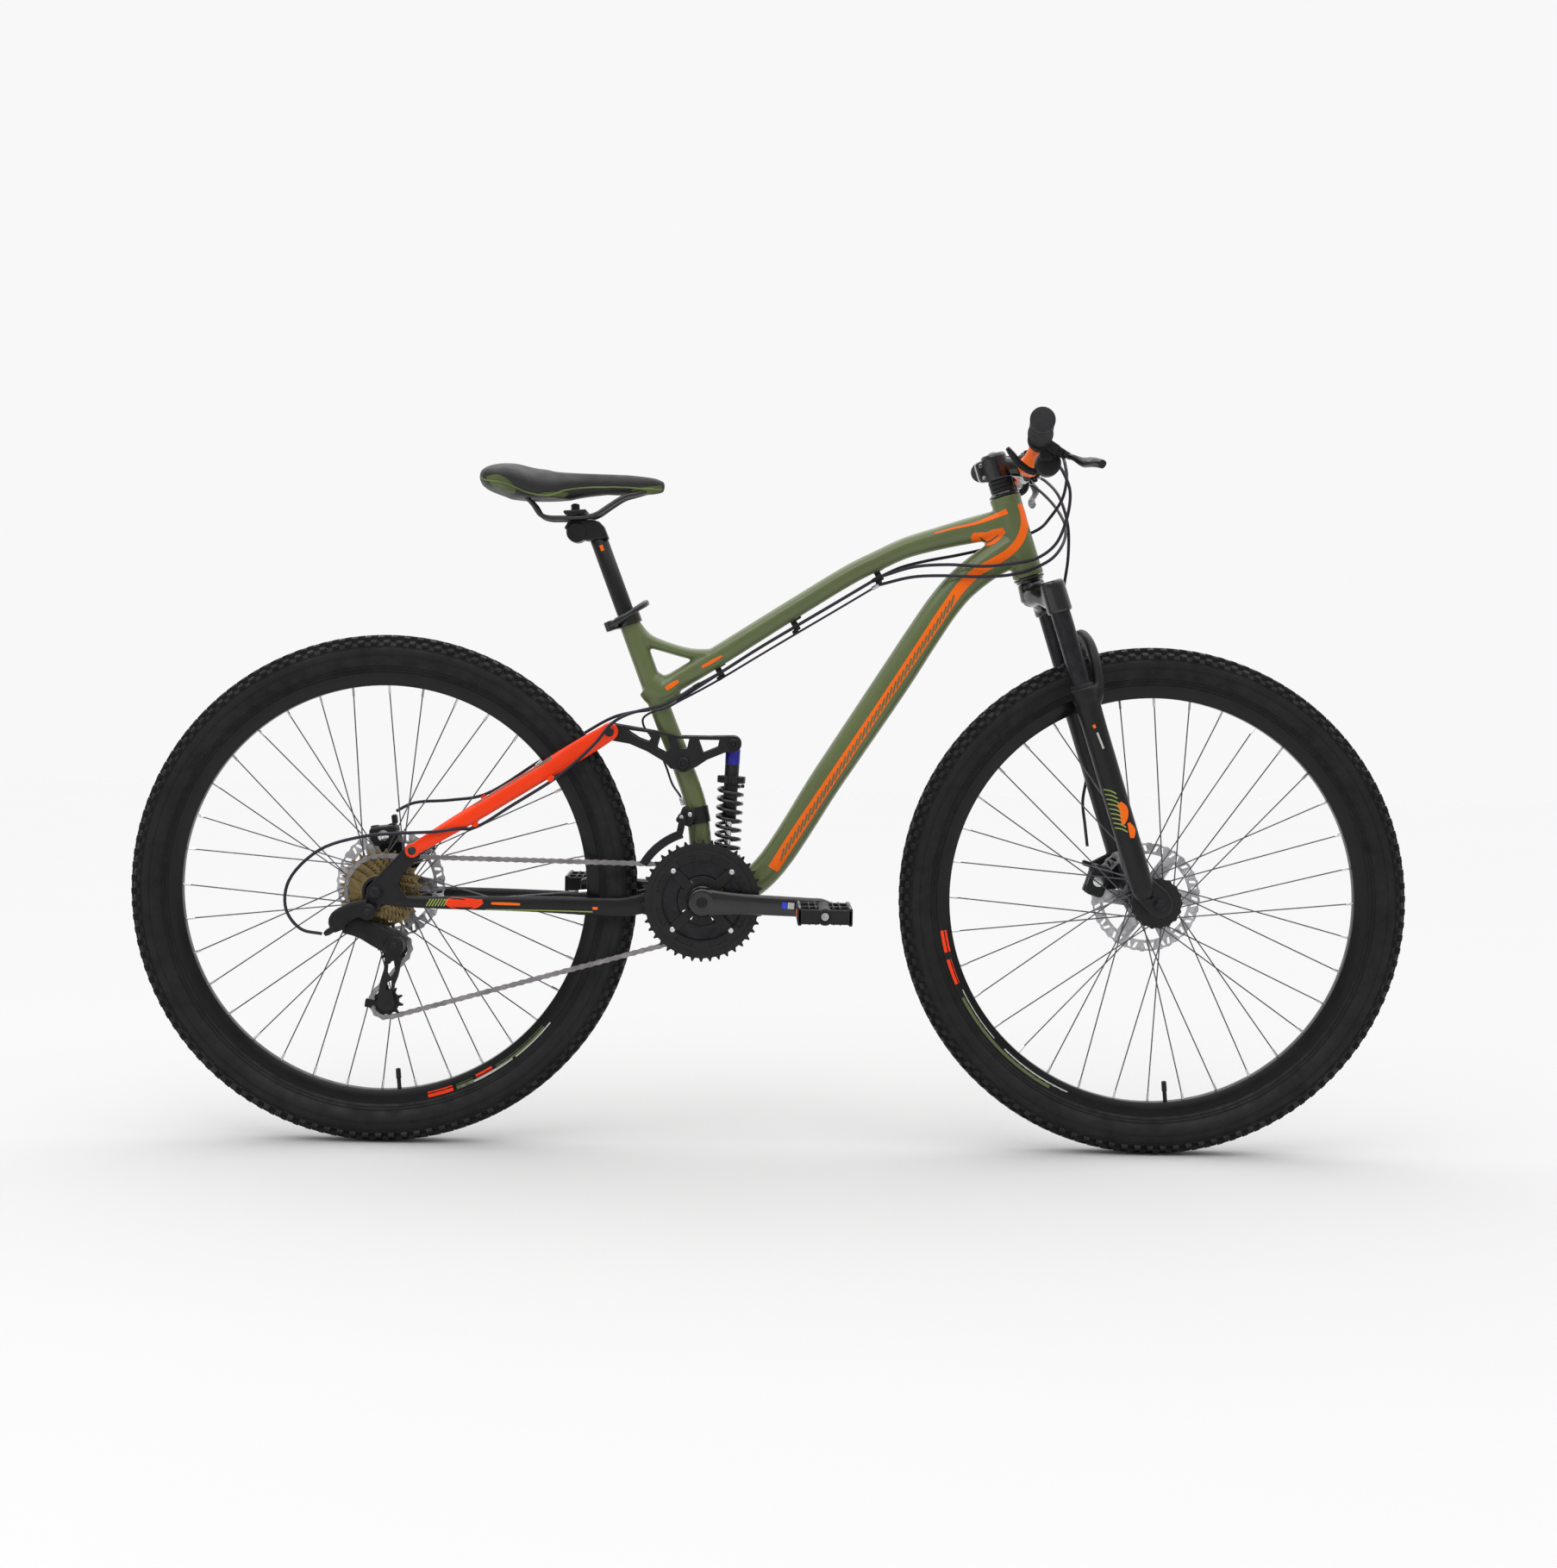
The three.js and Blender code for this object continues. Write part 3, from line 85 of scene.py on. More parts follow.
def linear(code):
    """A linear colour from an sRGB code such as 0x4A5A2C."""
    parts = [((code >> shift) & 255) / 255 for shift in (16, 8, 0)]
    return [p / 12.92 if p <= 0.04045 else ((p + 0.055) / 1.055) ** 2.4 for p in parts] + [1]


class Shader:
    """A material whose colour, roughness and bump come from noise in the object's own space."""

    def __init__(self, name, code, rough=0.4, metal=0.0, coat=0.0, spec=0.5):
        self.material = bpy.data.materials.new(name)
        self.material.use_nodes = True
        self.nodes = self.material.node_tree.nodes
        self.links = self.material.node_tree.links
        self.shader = self.nodes["Principled BSDF"]
        self.space = self.nodes.new("ShaderNodeTexCoord").outputs["Object"]
        self.colour = linear(code)
        self.set("Base Color", self.colour)
        self.set("Roughness", rough)
        self.set("Metallic", metal)
        self.set("Coat Weight", coat)
        self.set("Coat Roughness", 0.08)
        self.set("Specular IOR Level", spec)
        self.normal = None

    def set(self, socket, value):
        self.shader.inputs[socket].default_value = value

    def noise(self, scale, detail=4.0, stretch=(1, 1, 1)):
        texture = self.nodes.new("ShaderNodeTexNoise")
        texture.inputs["Scale"].default_value = scale
        texture.inputs["Detail"].default_value = detail
        mapping = self.nodes.new("ShaderNodeMapping")
        mapping.inputs["Scale"].default_value = stretch
        self.links.new(self.space, mapping.inputs["Vector"])
        self.links.new(mapping.outputs["Vector"], texture.inputs["Vector"])
        return texture.outputs["Fac"]

    def cells(self, scale):
        texture = self.nodes.new("ShaderNodeTexVoronoi")
        texture.inputs["Scale"].default_value = scale
        self.links.new(self.space, texture.inputs["Vector"])
        return texture.outputs["Distance"]

    def ramp(self, value, low, high, from_low=0.35, from_high=0.65):
        node = self.nodes.new("ShaderNodeMapRange")
        for socket, number in zip(("From Min", "From Max", "To Min", "To Max"), (from_low, from_high, low, high)):
            node.inputs[socket].default_value = number
        self.links.new(value, node.inputs["Value"])
        return node.outputs["Result"]

    def vary(self, value, dark=0.8, light=1.15):
        """The colour runs from dark to light times its own brightness, as value says."""
        mix = self.nodes.new("ShaderNodeMix")
        mix.data_type = "RGBA"
        mix.inputs["A"].default_value = [c * dark for c in self.colour[:3]] + [1]
        mix.inputs["B"].default_value = [min(c * light, 1) for c in self.colour[:3]] + [1]
        self.links.new(self.ramp(value, 0, 1), mix.inputs["Factor"])
        self.links.new(mix.outputs["Result"], self.shader.inputs["Base Color"])
        return self

    def polish(self, value, low, high):
        self.links.new(self.ramp(value, low, high), self.shader.inputs["Roughness"])
        return self

    def bump(self, value, depth, strength=0.4):
        """depth is in millimetres."""
        node = self.nodes.new("ShaderNodeBump")
        node.inputs["Distance"].default_value = depth * MM
        node.inputs["Strength"].default_value = strength
        self.links.new(value, node.inputs["Height"])
        if self.normal:
            self.links.new(self.normal, node.inputs["Normal"])
        self.normal = node.outputs["Normal"]
        self.links.new(self.normal, self.shader.inputs["Normal"])
        return self


def paint(name, code, rough=0.32, coat=0.5, spec=0.4):
    """Sprayed enamel: faint cloudiness, orange peel, and a clear coat."""
    s = Shader(name, code, rough, 0.0, coat, spec)
    s.vary(s.noise(9), 0.93, 1.07)
    s.polish(s.noise(30), rough - 0.05, rough + 0.09)
    return s.bump(s.noise(420, 2), 0.15, 0.25).material


def metal(name, code, rough, metallic=0.9, grain=(1, 1, 1), depth=0.1):
    """Machined, cast or anodised metal, with a grain along the stretched axis."""
    s = Shader(name, code, rough, metallic)
    s.vary(s.noise(60, 4, grain), 0.82, 1.16)
    s.polish(s.noise(140, 3, grain), rough - 0.09, rough + 0.13)
    return s.bump(s.noise(700, 2, grain), depth, 0.35).material


def plastic(name, code, rough=0.55, grain=900, depth=0.2):
    """Moulded plastic or rubber with a fine spark-eroded texture."""
    s = Shader(name, code, rough, 0.0, 0.0, 0.3)
    s.vary(s.noise(18), 0.8, 1.25)
    s.polish(s.noise(70), rough - 0.08, rough + 0.1)
    return s.bump(s.noise(grain, 2), depth, 0.5).material


def tyre_rubber():
    s = Shader("tyre rubber", 0x131315, 0.55, 0.0, 0.0, 0.3)
    s.vary(s.noise(26, 5), 0.75, 1.3)
    s.polish(s.noise(60), 0.5, 0.74)
    return s.bump(s.noise(650, 3), 0.35, 0.6).material


def saddle_leather():
    s = Shader("saddle cover", 0x1D1B1C, 0.5, 0.0, 0.0, 0.45)
    s.vary(s.noise(14, 5), 0.85, 1.15)
    s.polish(s.noise(35), 0.42, 0.6)
    s.bump(s.cells(520), 0.5, 0.35)
    return s.bump(s.noise(1400, 2), 0.2, 0.5).material


OLIVE = paint("olive paint", 0x58643A, 0.36, 0.35)
OLIVE_DARK = paint("dark olive stripe", 0x3C4526)
ORANGE = paint("orange paint", 0xF43A00, 0.36, 0.15, 0.25)
DECAL_ORANGE = paint("orange decal", 0xF86A08, 0.42, 0.05, 0.25)
LIME = paint("lime decal", 0x8FA04A, 0.4, 0.25)
PALE = paint("pale decal", 0xB9BCB4, 0.4, 0.2)
BLUE = paint("blue decal", 0x2F3FD0, 0.4, 0.2)
GLOSS_BLACK = paint("gloss black paint", 0x0E0E10, 0.24, 0.5)
SATIN_BLACK = paint("satin black paint", 0x0D0D0F, 0.42, 0.1, 0.3)
RIM_BLACK = paint("black rim", 0x08080A, 0.3, 0.1, 0.25)
CAST_BLACK = metal("black cast alloy", 0x131315, 0.42, 0.3)
DARK_STEEL = metal("dark anodised alloy", 0x2A2A2E, 0.34, 0.75)
STEEL = metal("brushed steel", 0xB8B8BA, 0.28, 0.95, (1, 6, 1))
CHROME = metal("hard chrome", 0xC8CACC, 0.12, 1.0)
BRONZE = metal("bronze-tone steel", 0x7A6A48, 0.3, 0.85)
CHAIN_STEEL = metal("chain steel", 0x8E8A8E, 0.33, 0.9)
SPOKE_STEEL = metal("spoke steel", 0x59575F, 0.35, 0.7)
VIOLET = metal("violet anodising", 0x2D2A8C, 0.3, 0.7)
PLASTIC = plastic("black plastic", 0x101012)
PEDAL_PLASTIC = plastic("pedal resin", 0x19191B, 0.5)
GRIP = plastic("grip rubber", 0x2A2A2C, 0.75, 500, 0.4)
HOUSING = plastic("cable housing", 0x211F2C, 0.38, 1200, 0.05)
TYRE = tyre_rubber()
LEATHER = saddle_leather()
OLIVE_VINYL = plastic("olive vinyl", 0x4E5A33, 0.5, 900, 0.3)
PIPING = plastic("olive piping", 0x66763F, 0.55)


# ---- shapes: each returns (vertices, faces) in millimetres ---------------------------------

def between(p0, p1, p2, p3, t):
    """A point t of the way from p1 to p2 on the centripetal curve through all four rows."""
    def knot(a, b):
        return max(math.dist(a[:3], b[:3]) ** 0.5, 1e-4)
    t1 = knot(p0, p1) if p0 != p1 else knot(p1, p2)
    t2 = t1 + knot(p1, p2)
    t3 = t2 + (knot(p2, p3) if p3 != p2 else knot(p1, p2))
    p0 = p0 if p0 != p1 else tuple(2 * a - b for a, b in zip(p1, p2))
    p3 = p3 if p3 != p2 else tuple(2 * a - b for a, b in zip(p2, p1))
    u = t1 + (t2 - t1) * t

    def mix(a, b, ta, tb):
        return tuple(x + (y - x) * (u - ta) / (tb - ta) for x, y in zip(a, b))
    a, b, c = mix(p0, p1, 0, t1), mix(p1, p2, t1, t2), mix(p2, p3, t2, t3)
    return mix(mix(a, b, 0, t2), mix(b, c, t1, t3), t1, t2)


def curve(rows, per=6):
    rows = [tuple(float(n) for n in row) for row in rows]
    last = len(rows) - 1
    line = [between(rows[max(i - 1, 0)], rows[i], rows[i + 1], rows[min(i + 2, last)], k / per)
            for i in range(last) for k in range(per)]
    return line + [rows[-1]]


def skin(loops, closed=False):
    """Joins rings of the same count into a tube, with flat ends unless it closes on itself."""
    count = len(loops[0])
    verts = [point for loop in loops for point in loop]
    faces = []
    for i in range(len(loops) if closed else len(loops) - 1):
        a, b = i * count, ((i + 1) % len(loops)) * count
        faces += [(a + k, a + (k + 1) % count, b + (k + 1) % count, b + k) for k in range(count)]
    if not closed:
        faces += [tuple(range(count))[::-1], tuple(range(len(verts) - count, len(verts)))]
    return verts, faces


def loft(rows, sides=24, per=6, across=SIDE, power=2.0):
    """A tube through rows of (x, y, z, half width, half depth); power over 2 squares it off."""
    line = curve(rows, per)
    loops = []
    for i, row in enumerate(line):
        centre = Vector(row[:3])
        ahead = (Vector(line[min(i + 1, len(line) - 1)][:3]) - Vector(line[max(i - 1, 0)][:3])).normalized()
        side = (across - ahead * across.dot(ahead)).normalized()
        up = ahead.cross(side)
        loop = []
        for k in range(sides):
            c, s = math.cos(2 * math.pi * k / sides), math.sin(2 * math.pi * k / sides)
            c = math.copysign(abs(c) ** (2 / power), c)
            s = math.copysign(abs(s) ** (2 / power), s)
            loop.append(centre + side * (row[3] * c) + up * (row[4] * s))
        loops.append(loop)
    return skin(loops)


def pipe(points, radius, sides=10, per=6, across=SIDE):
    return loft([(*p, radius, radius) for p in points], sides, per, across)


def turn(start, end, profile, sides=32, hollow=False):
    """A turned shape along the line from start to end; the profile is (distance, radius) rows."""
    start = Vector(start)
    ahead = (Vector(end) - start).normalized()
    side = ahead.orthogonal().normalized() if abs(ahead.y) < 0.99 else FORWARD.copy()
    up = ahead.cross(side)
    angles = [2 * math.pi * k / sides for k in range(sides)]
    loops = [[start + ahead * s + (side * math.cos(a) + up * math.sin(a)) * r for a in angles] for s, r in profile]
    return skin(loops, hollow)


def rod(start, end, radius, bevel=0.8, sides=24):
    length = (Vector(end) - Vector(start)).length
    return turn(start, end, [(0, radius - bevel), (bevel, radius), (length - bevel, radius), (length, radius - bevel)], sides)


def axle(point, y0, y1, radius, bevel=0.8, sides=28):
    """A rod across the bike."""
    return rod((point[0], y0, point[1]), (point[0], y1, point[1]), radius, bevel, sides)


def ring(point, profile, sides=64):
    """A closed profile of (radius, y) rows turned about a line across the bike."""
    x, z = point
    return turn((x, 0, z), (x, 1, z), [(y, r) for r, y in profile], sides, True)


def hexagon(point, y0, y1, radius):
    return rod((point[0], y0, point[1]), (point[0], y1, point[1]), radius, 0.5, 6)


def arc(point, radius, start, end, steps=12):
    x, z = point
    angles = [math.radians(start + (end - start) * i / steps) for i in range(steps + 1)]
    return [(x + radius * math.cos(a), z + radius * math.sin(a)) for a in angles]


def plate(outline, y0, y1, holes=(), bevel=0.8):
    """A flat outline in the side view with bevelled edges, from y0 to y1."""
    data = bpy.data.curves.new("outline", "CURVE")
    data.dimensions = "2D"
    data.fill_mode = "BOTH"
    for loop in (outline, *holes):
        spline = data.splines.new("POLY")
        spline.points.add(len(loop) - 1)
        for point, (x, z) in zip(spline.points, loop):
            point.co = (x, z, 0, 1)
        spline.use_cyclic_u = True
    bevel = min(bevel, (y1 - y0) / 2 - 0.05)
    data.extrude = (y1 - y0) / 2 - bevel
    data.bevel_depth = bevel
    data.bevel_resolution = 1
    data.offset = -bevel
    holder = bpy.data.objects.new("outline", data)
    mesh = bpy.data.meshes.new_from_object(holder)
    middle = (y0 + y1) / 2
    shape = ([Vector((v.co.x, middle + v.co.z, v.co.y)) for v in mesh.vertices],
             [tuple(f.vertices)[::-1] for f in mesh.polygons])
    bpy.data.objects.remove(holder)
    bpy.data.curves.remove(data)
    bpy.data.meshes.remove(mesh)
    return shape


def block(centre, size, tilt=0.0, corner=2.0, bevel=1.0):
    """A box with rounded corners, tilted in the side view by an angle in degrees."""
    width, depth, height = (n / 2 for n in size)
    corner = min(corner, width, height)
    outline = []
    for x, z, start in ((1, 1, 0), (-1, 1, 90), (-1, -1, 180), (1, -1, 270)):
        outline += arc((x * (width - corner), z * (height - corner)), corner, start, start + 90, 4)
    shape = plate(outline, -depth, depth, (), bevel)
    return moved(shape, Matrix.Translation(centre) @ Matrix.Rotation(math.radians(tilt), 4, "Y"))


def moved(shape, matrix):
    return [matrix @ Vector(v) for v in shape[0]], shape[1]


def flipped(shape):
    """The same shape on the bike's other side."""
    return [Vector((v[0], -v[1], v[2])) for v in shape[0]], [f[::-1] for f in shape[1]]


def both(*shapes):
    return [*shapes, *(flipped(shape) for shape in shapes)]


def around(point, shape, count, start=0.0):
    """Copies of a shape about a line across the bike."""
    x, z = point
    copies = []
    for i in range(count):
        spin = Matrix.Rotation(start + 2 * math.pi * i / count, 4, "Y")
        copies.append(moved(shape, Matrix.Translation((x, 0, z)) @ spin @ Matrix.Translation((-x, 0, -z))))
    return copies


# ---- pieces -------------------------------------------------------------------------------

def applied(ob):
    """Replaces the object's mesh with what its modifiers make of it."""
    graph = bpy.context.evaluated_depsgraph_get()
    mesh = bpy.data.meshes.new_from_object(ob.evaluated_get(graph))
    ob.modifiers.clear()
    ob.data = mesh
    return ob


def raw(name, shapes):
    verts, faces = [], []
    for shape_verts, shape_faces in shapes:
        start = len(verts)
        verts += [tuple(c * MM for c in v) for v in shape_verts]
        faces += [tuple(i + start for i in f) for f in shape_faces]
    mesh = bpy.data.meshes.new(name)
    mesh.from_pydata(verts, [], faces)
    mesh.validate()
    ob = bpy.data.objects.new(name, mesh)
    bpy.context.scene.collection.objects.link(ob)
    return ob


def finished(ob, material, body, stands_for=(), crease=38):
    """Smooth shading with sharp edges over an angle, a material, and a body to ride on."""
    form = bmesh.new()
    form.from_mesh(ob.data)
    bmesh.ops.recalc_face_normals(form, faces=form.faces)
    for face in form.faces:
        face.smooth = True
    for edge in form.edges:
        edge.smooth = not edge.is_manifold or edge.calc_face_angle(0) < math.radians(crease)
    form.to_mesh(ob.data)
    form.free()
    ob.data.materials.clear()
    ob.data.materials.append(material)
    if body:
        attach(ob, body)
    if stands_for:
        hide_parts(*stands_for)
    return ob


def make(name, material, body, shapes, stands_for=(), fuse=0.0, relax=0, crease=38):
    """A piece from shapes; fuse is the voxel size in millimetres that welds them into one skin."""
    ob = raw(name, shapes)
    if fuse:
        remesh = ob.modifiers.new("weld", "REMESH")
        remesh.mode = "VOXEL"
        remesh.voxel_size = fuse * MM
        smooth = ob.modifiers.new("relax", "SMOOTH")
        smooth.factor = 0.5
        smooth.iterations = relax
        applied(ob)
    return finished(ob, material, body, stands_for, 50 if fuse else crease)


def sticker(name, material, target, body, strips, side=-1, across=8, per=8, lift=0.25, origin=120):
    """Strips laid on the target from one side; each is rows of (x, z, half width) along its middle."""
    tree = BVHTree.FromObject(target, bpy.context.evaluated_depsgraph_get())
    points, faces = [], []
    for rows in strips:
        line = curve([(x, 0, z, half) for x, z, half in rows], per)
        grid = []
        for i, (x, _, z, half) in enumerate(line):
            before, after = line[max(i - 1, 0)], line[min(i + 1, len(line) - 1)]
            ahead = Vector((after[0] - before[0], 0, after[2] - before[2])).normalized()
            normal = Vector((-ahead.z, 0, ahead.x))
            for k in range(across + 1):
                spot = Vector((x, side * origin, z)) + normal * half * (2 * k / across - 1)
                hit, facing, _, _ = tree.ray_cast(spot * MM, -side * SIDE, 0.3)
                grid.append(hit + facing * lift * MM if hit and facing.y * side > 0.12 else None)
        start = len(points)
        points += grid
        for i in range(len(line) - 1):
            for k in range(across):
                a = i * (across + 1) + k
                face = (a, a + 1, a + across + 2, a + across + 1)
                corners = [grid[n] for n in face]
                if all(corners) and max((p - corners[0]).length for p in corners) < 0.02:
                    faces.append(tuple(n + start for n in face))
    used = sorted({n for face in faces for n in face})
    place = {n: i for i, n in enumerate(used)}
    mesh = bpy.data.meshes.new(name)
    mesh.from_pydata([points[n] for n in used], [], [tuple(place[n] for n in face) for face in faces])
    ob = bpy.data.objects.new(name, mesh)
    bpy.context.scene.collection.objects.link(ob)
    for face in mesh.polygons:
        face.use_smooth = True
    mesh.materials.append(material)
    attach(ob, body)
    return ob


# ---- camera -------------------------------------------------------------------------------

camera = bpy.data.objects.new("camera", bpy.data.cameras.new("camera"))
bpy.context.scene.collection.objects.link(camera)
bpy.context.scene.camera = camera
camera.matrix_world = (Matrix.Translation((-0.034, -3.0, 0.6827)) @ Matrix.Rotation(math.radians(90), 4, "X")
                       @ Matrix.Rotation(math.radians(0.968), 4, "Z"))
camera.data.sensor_fit = "HORIZONTAL"
camera.data.sensor_width = 36
camera.data.lens = 48.06
camera.data.shift_x = 0.0194
camera.data.shift_y = -0.0717


# ---- wheels -------------------------------------------------------------------------------

TYRE_PROFILE = [(306, 8), (311, 12.6), (316, 16), (323, 21.5), (332, 25.2), (341, 25.6), (349, 23),
                (355, 17), (358.6, 8), (359.6, 0)]


def knob(length, width, height):
    """A tapered rubber block standing on z = 0."""
    loops = [[(x * length * k / 2, y * width * k / 2, z) for x, y in ((1, 1), (-1, 1), (-1, -1), (1, -1))]
             for k, z in ((1.12, 0), (1, height - 0.7), (0.84, height))]
    return skin(loops)


def tyre_tread(centre):
    """Blocks round the tyre: pairs in the middle, shoulder blocks, and small side lugs."""
    shapes = []
    pitches = 120
    for lean, radius, length, width, height, tilt, shift in (
            (5, 357, 10, 7.4, 6.8, 6, 0), (13, 355, 9, 6.4, 7.4, 22, 0.5), (19.8, 350, 8.6, 5.6, 7.2, 46, 0)):
        for sign in (-1, 1):
            lean_back = Matrix.Rotation(-sign * math.radians(tilt), 4, "X")
            place = Matrix.Translation((centre[0], sign * lean, centre[1] + radius))
            offset = (shift + (0.5 if sign > 0 else 0)) * 2 * math.pi / pitches
            shapes += around(centre, moved(knob(length, width, height), place @ lean_back), pitches, offset)
    return shapes


def wheel(end, centre, body, flanges, shell, decals):
    upper = [(r, -y) for r, y in TYRE_PROFILE]
    casing = ring(centre, upper + [(r, y) for r, y in reversed(TYRE_PROFILE[:-1])] + [(304, 4), (304, -4)], 160)
    lines = [ring(centre, [(r - 0.7, s * (y - 1)), (r - 0.5, s * (y + 0.5)), (r + 0.5, s * (y + 0.5)), (r + 0.7, s * (y - 1))], 160)
             for s in (-1, 1) for r, y in ((314.5, 15.2), (318, 18.2), (335, 25.6), (347.5, 23.8))]
    make(f"{end}_tyre_casing", TYRE, body, [casing, *lines], [f"{end}_tyre"])
    make(f"{end}_tyre_tread", TYRE, body, tyre_tread(centre), [f"{end}_tyre"])
    rim = [(291, -5), (291.4, -7), (298, -10.6), (303, -11.6), (310, -12.3), (310.8, -11.6), (310.8, -10), (305, -9.4),
           (303, -4)]
    rim_shape = ring(centre, rim + [(r, -y) for r, y in reversed(rim)], 160)
    make(f"{end}_rim_hoop", RIM_BLACK, body, [rim_shape], [f"{end}_rim"])
    for k, (material, start, stop, inner, outer) in enumerate(decals):
        strip = []
        for side in (-1, 1):
            steps = max(3, int(abs(stop - start)))
            loops = [[(centre[0] + r * math.cos(a), side * (y + 0.12), centre[1] + r * math.sin(a)) for r, y in
                      ((inner, 10.6 + (inner - 298) * 0.17), (outer, 10.6 + (outer - 298) * 0.17))]
                     for a in (math.radians(start + (stop - start) * i / steps) for i in range(steps + 1))]
            verts = [p for loop in loops for p in loop]
            strip.append((verts, [(2 * i, 2 * i + 1, 2 * i + 3, 2 * i + 2) for i in range(steps)]))
        make(f"{end}_rim_stripe_{k}", material, body, strip)
    spokes, nipples = [], []
    for i in range(36):
        lead = 1 if (i // 2) % 2 else -1
        flange = flanges[i % 2]
        rim_angle = i * math.pi / 18
        hub_angle = rim_angle + lead * math.radians(62)
        hub = (centre[0] + 26 * math.cos(hub_angle), flange + 1.9 * lead, centre[1] + 26 * math.sin(hub_angle))
        tip_y = math.copysign(3, flange)
        tip = (centre[0] + 292 * math.cos(rim_angle), tip_y, centre[1] + 292 * math.sin(rim_angle))
        spokes.append(rod(hub, tip, 0.95, 0.1, 8))
        spokes.append(rod((hub[0], hub[1] - 2.2 * lead, hub[2]), (hub[0], hub[1] + 0.9 * lead, hub[2]), 1.7, 0.3, 8))
        back = Vector(tip) + (Vector(hub) - Vector(tip)).normalized() * 13
        nipples.append(rod(back, tip, 1.9, 0.4, 8))
    make(f"{end}_spokes", SPOKE_STEEL, body, spokes, [f"{end}_hub"])
    make(f"{end}_nipples", CHROME, body, nipples)
    make(f"{end}_hub_shell", CAST_BLACK, body, shell, [f"{end}_hub"])
    angle = math.radians(-90 + 5)
    inner = Vector((centre[0] + 262 * math.cos(angle), 0, centre[1] + 262 * math.sin(angle)))
    outer = Vector((centre[0] + 292 * math.cos(angle), 0, centre[1] + 292 * math.sin(angle)))
    make(f"{end}_valve", CAST_BLACK, body, [turn(inner, outer, [(0, 2.4), (1, 3.6), (14, 3.8), (15, 3), (30, 3)], 14)])


def rotor(end, centre, y, body):
    windows = []
    for i in range(6):
        base = i * 60
        windows.append(arc(centre, 63, base + 8, base + 50, 8) + arc(centre, 34, base + 44, base + 22, 4))
    slots = []
    for i in range(36):
        a = i * 10
        skew = 2.5 if i % 2 else -2.5
        inner, outer = arc(centre, 67.5, a - 1.6, a + 1.6, 3), arc(centre, 76, a + 1.6 + skew, a - 1.6 + skew, 3)
        slots.append(inner + outer)
    edge = []
    for i in range(72):
        edge += arc(centre, 79.8 if i % 2 else 78.6, i * 5, i * 5 + 4, 2)
    disc = plate(edge, y - 0.9, y + 0.9, [*windows, *slots, arc(centre, 19.5, 0, 350, 35)], 0.25)
    make(f"{end}_rotor_disc", STEEL, body, [disc], [f"{end}_rotor"], crease=30)
    bolts = [axle((centre[0] + 24 * math.cos(i * math.pi / 3), centre[1] + 24 * math.sin(i * math.pi / 3)),
                  y + 0.9, y + 3, 3.2, 0.6, 12) for i in range(6)]
    make(f"{end}_rotor_bolts", DARK_STEEL, body, bolts)


def flange(centre, y):
    return ring(centre, [(12, y - 3), (26, y - 2.4), (28.6, y - 1.6), (28.6, y + 1.6), (26, y + 2.4), (12, y + 3)], 48)


front_shell = [
    turn((552.5, -48, 364), (552.5, 48, 364), [(0, 8), (1, 9), (10, 9), (14, 14), (20, 15), (30, 12.5), (62, 12.5),
                                              (72, 15), (88, 15), (92, 10), (96, 9)], 40),
    flange(FRONT_AXLE, -32), flange(FRONT_AXLE, 28),
    plate(arc(FRONT_AXLE, 35.5, 0, 350, 35), -43.4, -36, (), 1.2),
    *around(FRONT_AXLE, axle((FRONT_AXLE[0] + 33, FRONT_AXLE[1]), -43.2, -36, 4.4, 1.2, 14), 18),
    ring(FRONT_AXLE, [(15, 34), (18.6, 35), (18.6, 41.9), (15, 42)], 40),
]
rear_shell = [
    turn((-552.5, -66, 364), (-552.5, 66, 364), [(0, 7.5), (1, 8.4), (38, 8.4), (40, 17), (46, 17), (56, 14),
                                                (90, 14), (98, 17), (112, 17), (116, 10), (132, 8.4)], 40),
    flange(REAR_AXLE, -27), flange(REAR_AXLE, 34),
    ring(REAR_AXLE, [(15, 36), (18.6, 37), (18.6, 48.9), (15, 49)], 40),
]
front_decals = [(ORANGE, 189, 195, 299, 308), (SATIN_BLACK, 195, 197, 299, 308), (ORANGE, 197, 204, 301, 308),
                (PALE, 206, 222, 300.5, 302.5), (OLIVE, 208, 242, 304, 308), (PALE, 226, 247, 300, 303.5)]
rear_decals = [(ORANGE, 283, 290, 300, 308), (OLIVE, 291, 296, 301, 308), (ORANGE, 297, 302, 299, 304),
               (PALE, 292, 308, 305, 308), (OLIVE, 303, 320, 301, 306), (PALE, 309, 322, 306.5, 308.5)]
wheel("front", FRONT_AXLE, "front_wheel", (-32, 28), front_shell, front_decals)
wheel("rear", REAR_AXLE, "rear_wheel", (-27, 34), rear_shell, rear_decals)
rotor("front", FRONT_AXLE, 41, "front_wheel")
rotor("rear", REAR_AXLE, 48, "rear_wheel")


# ---- main frame ---------------------------------------------------------------------------

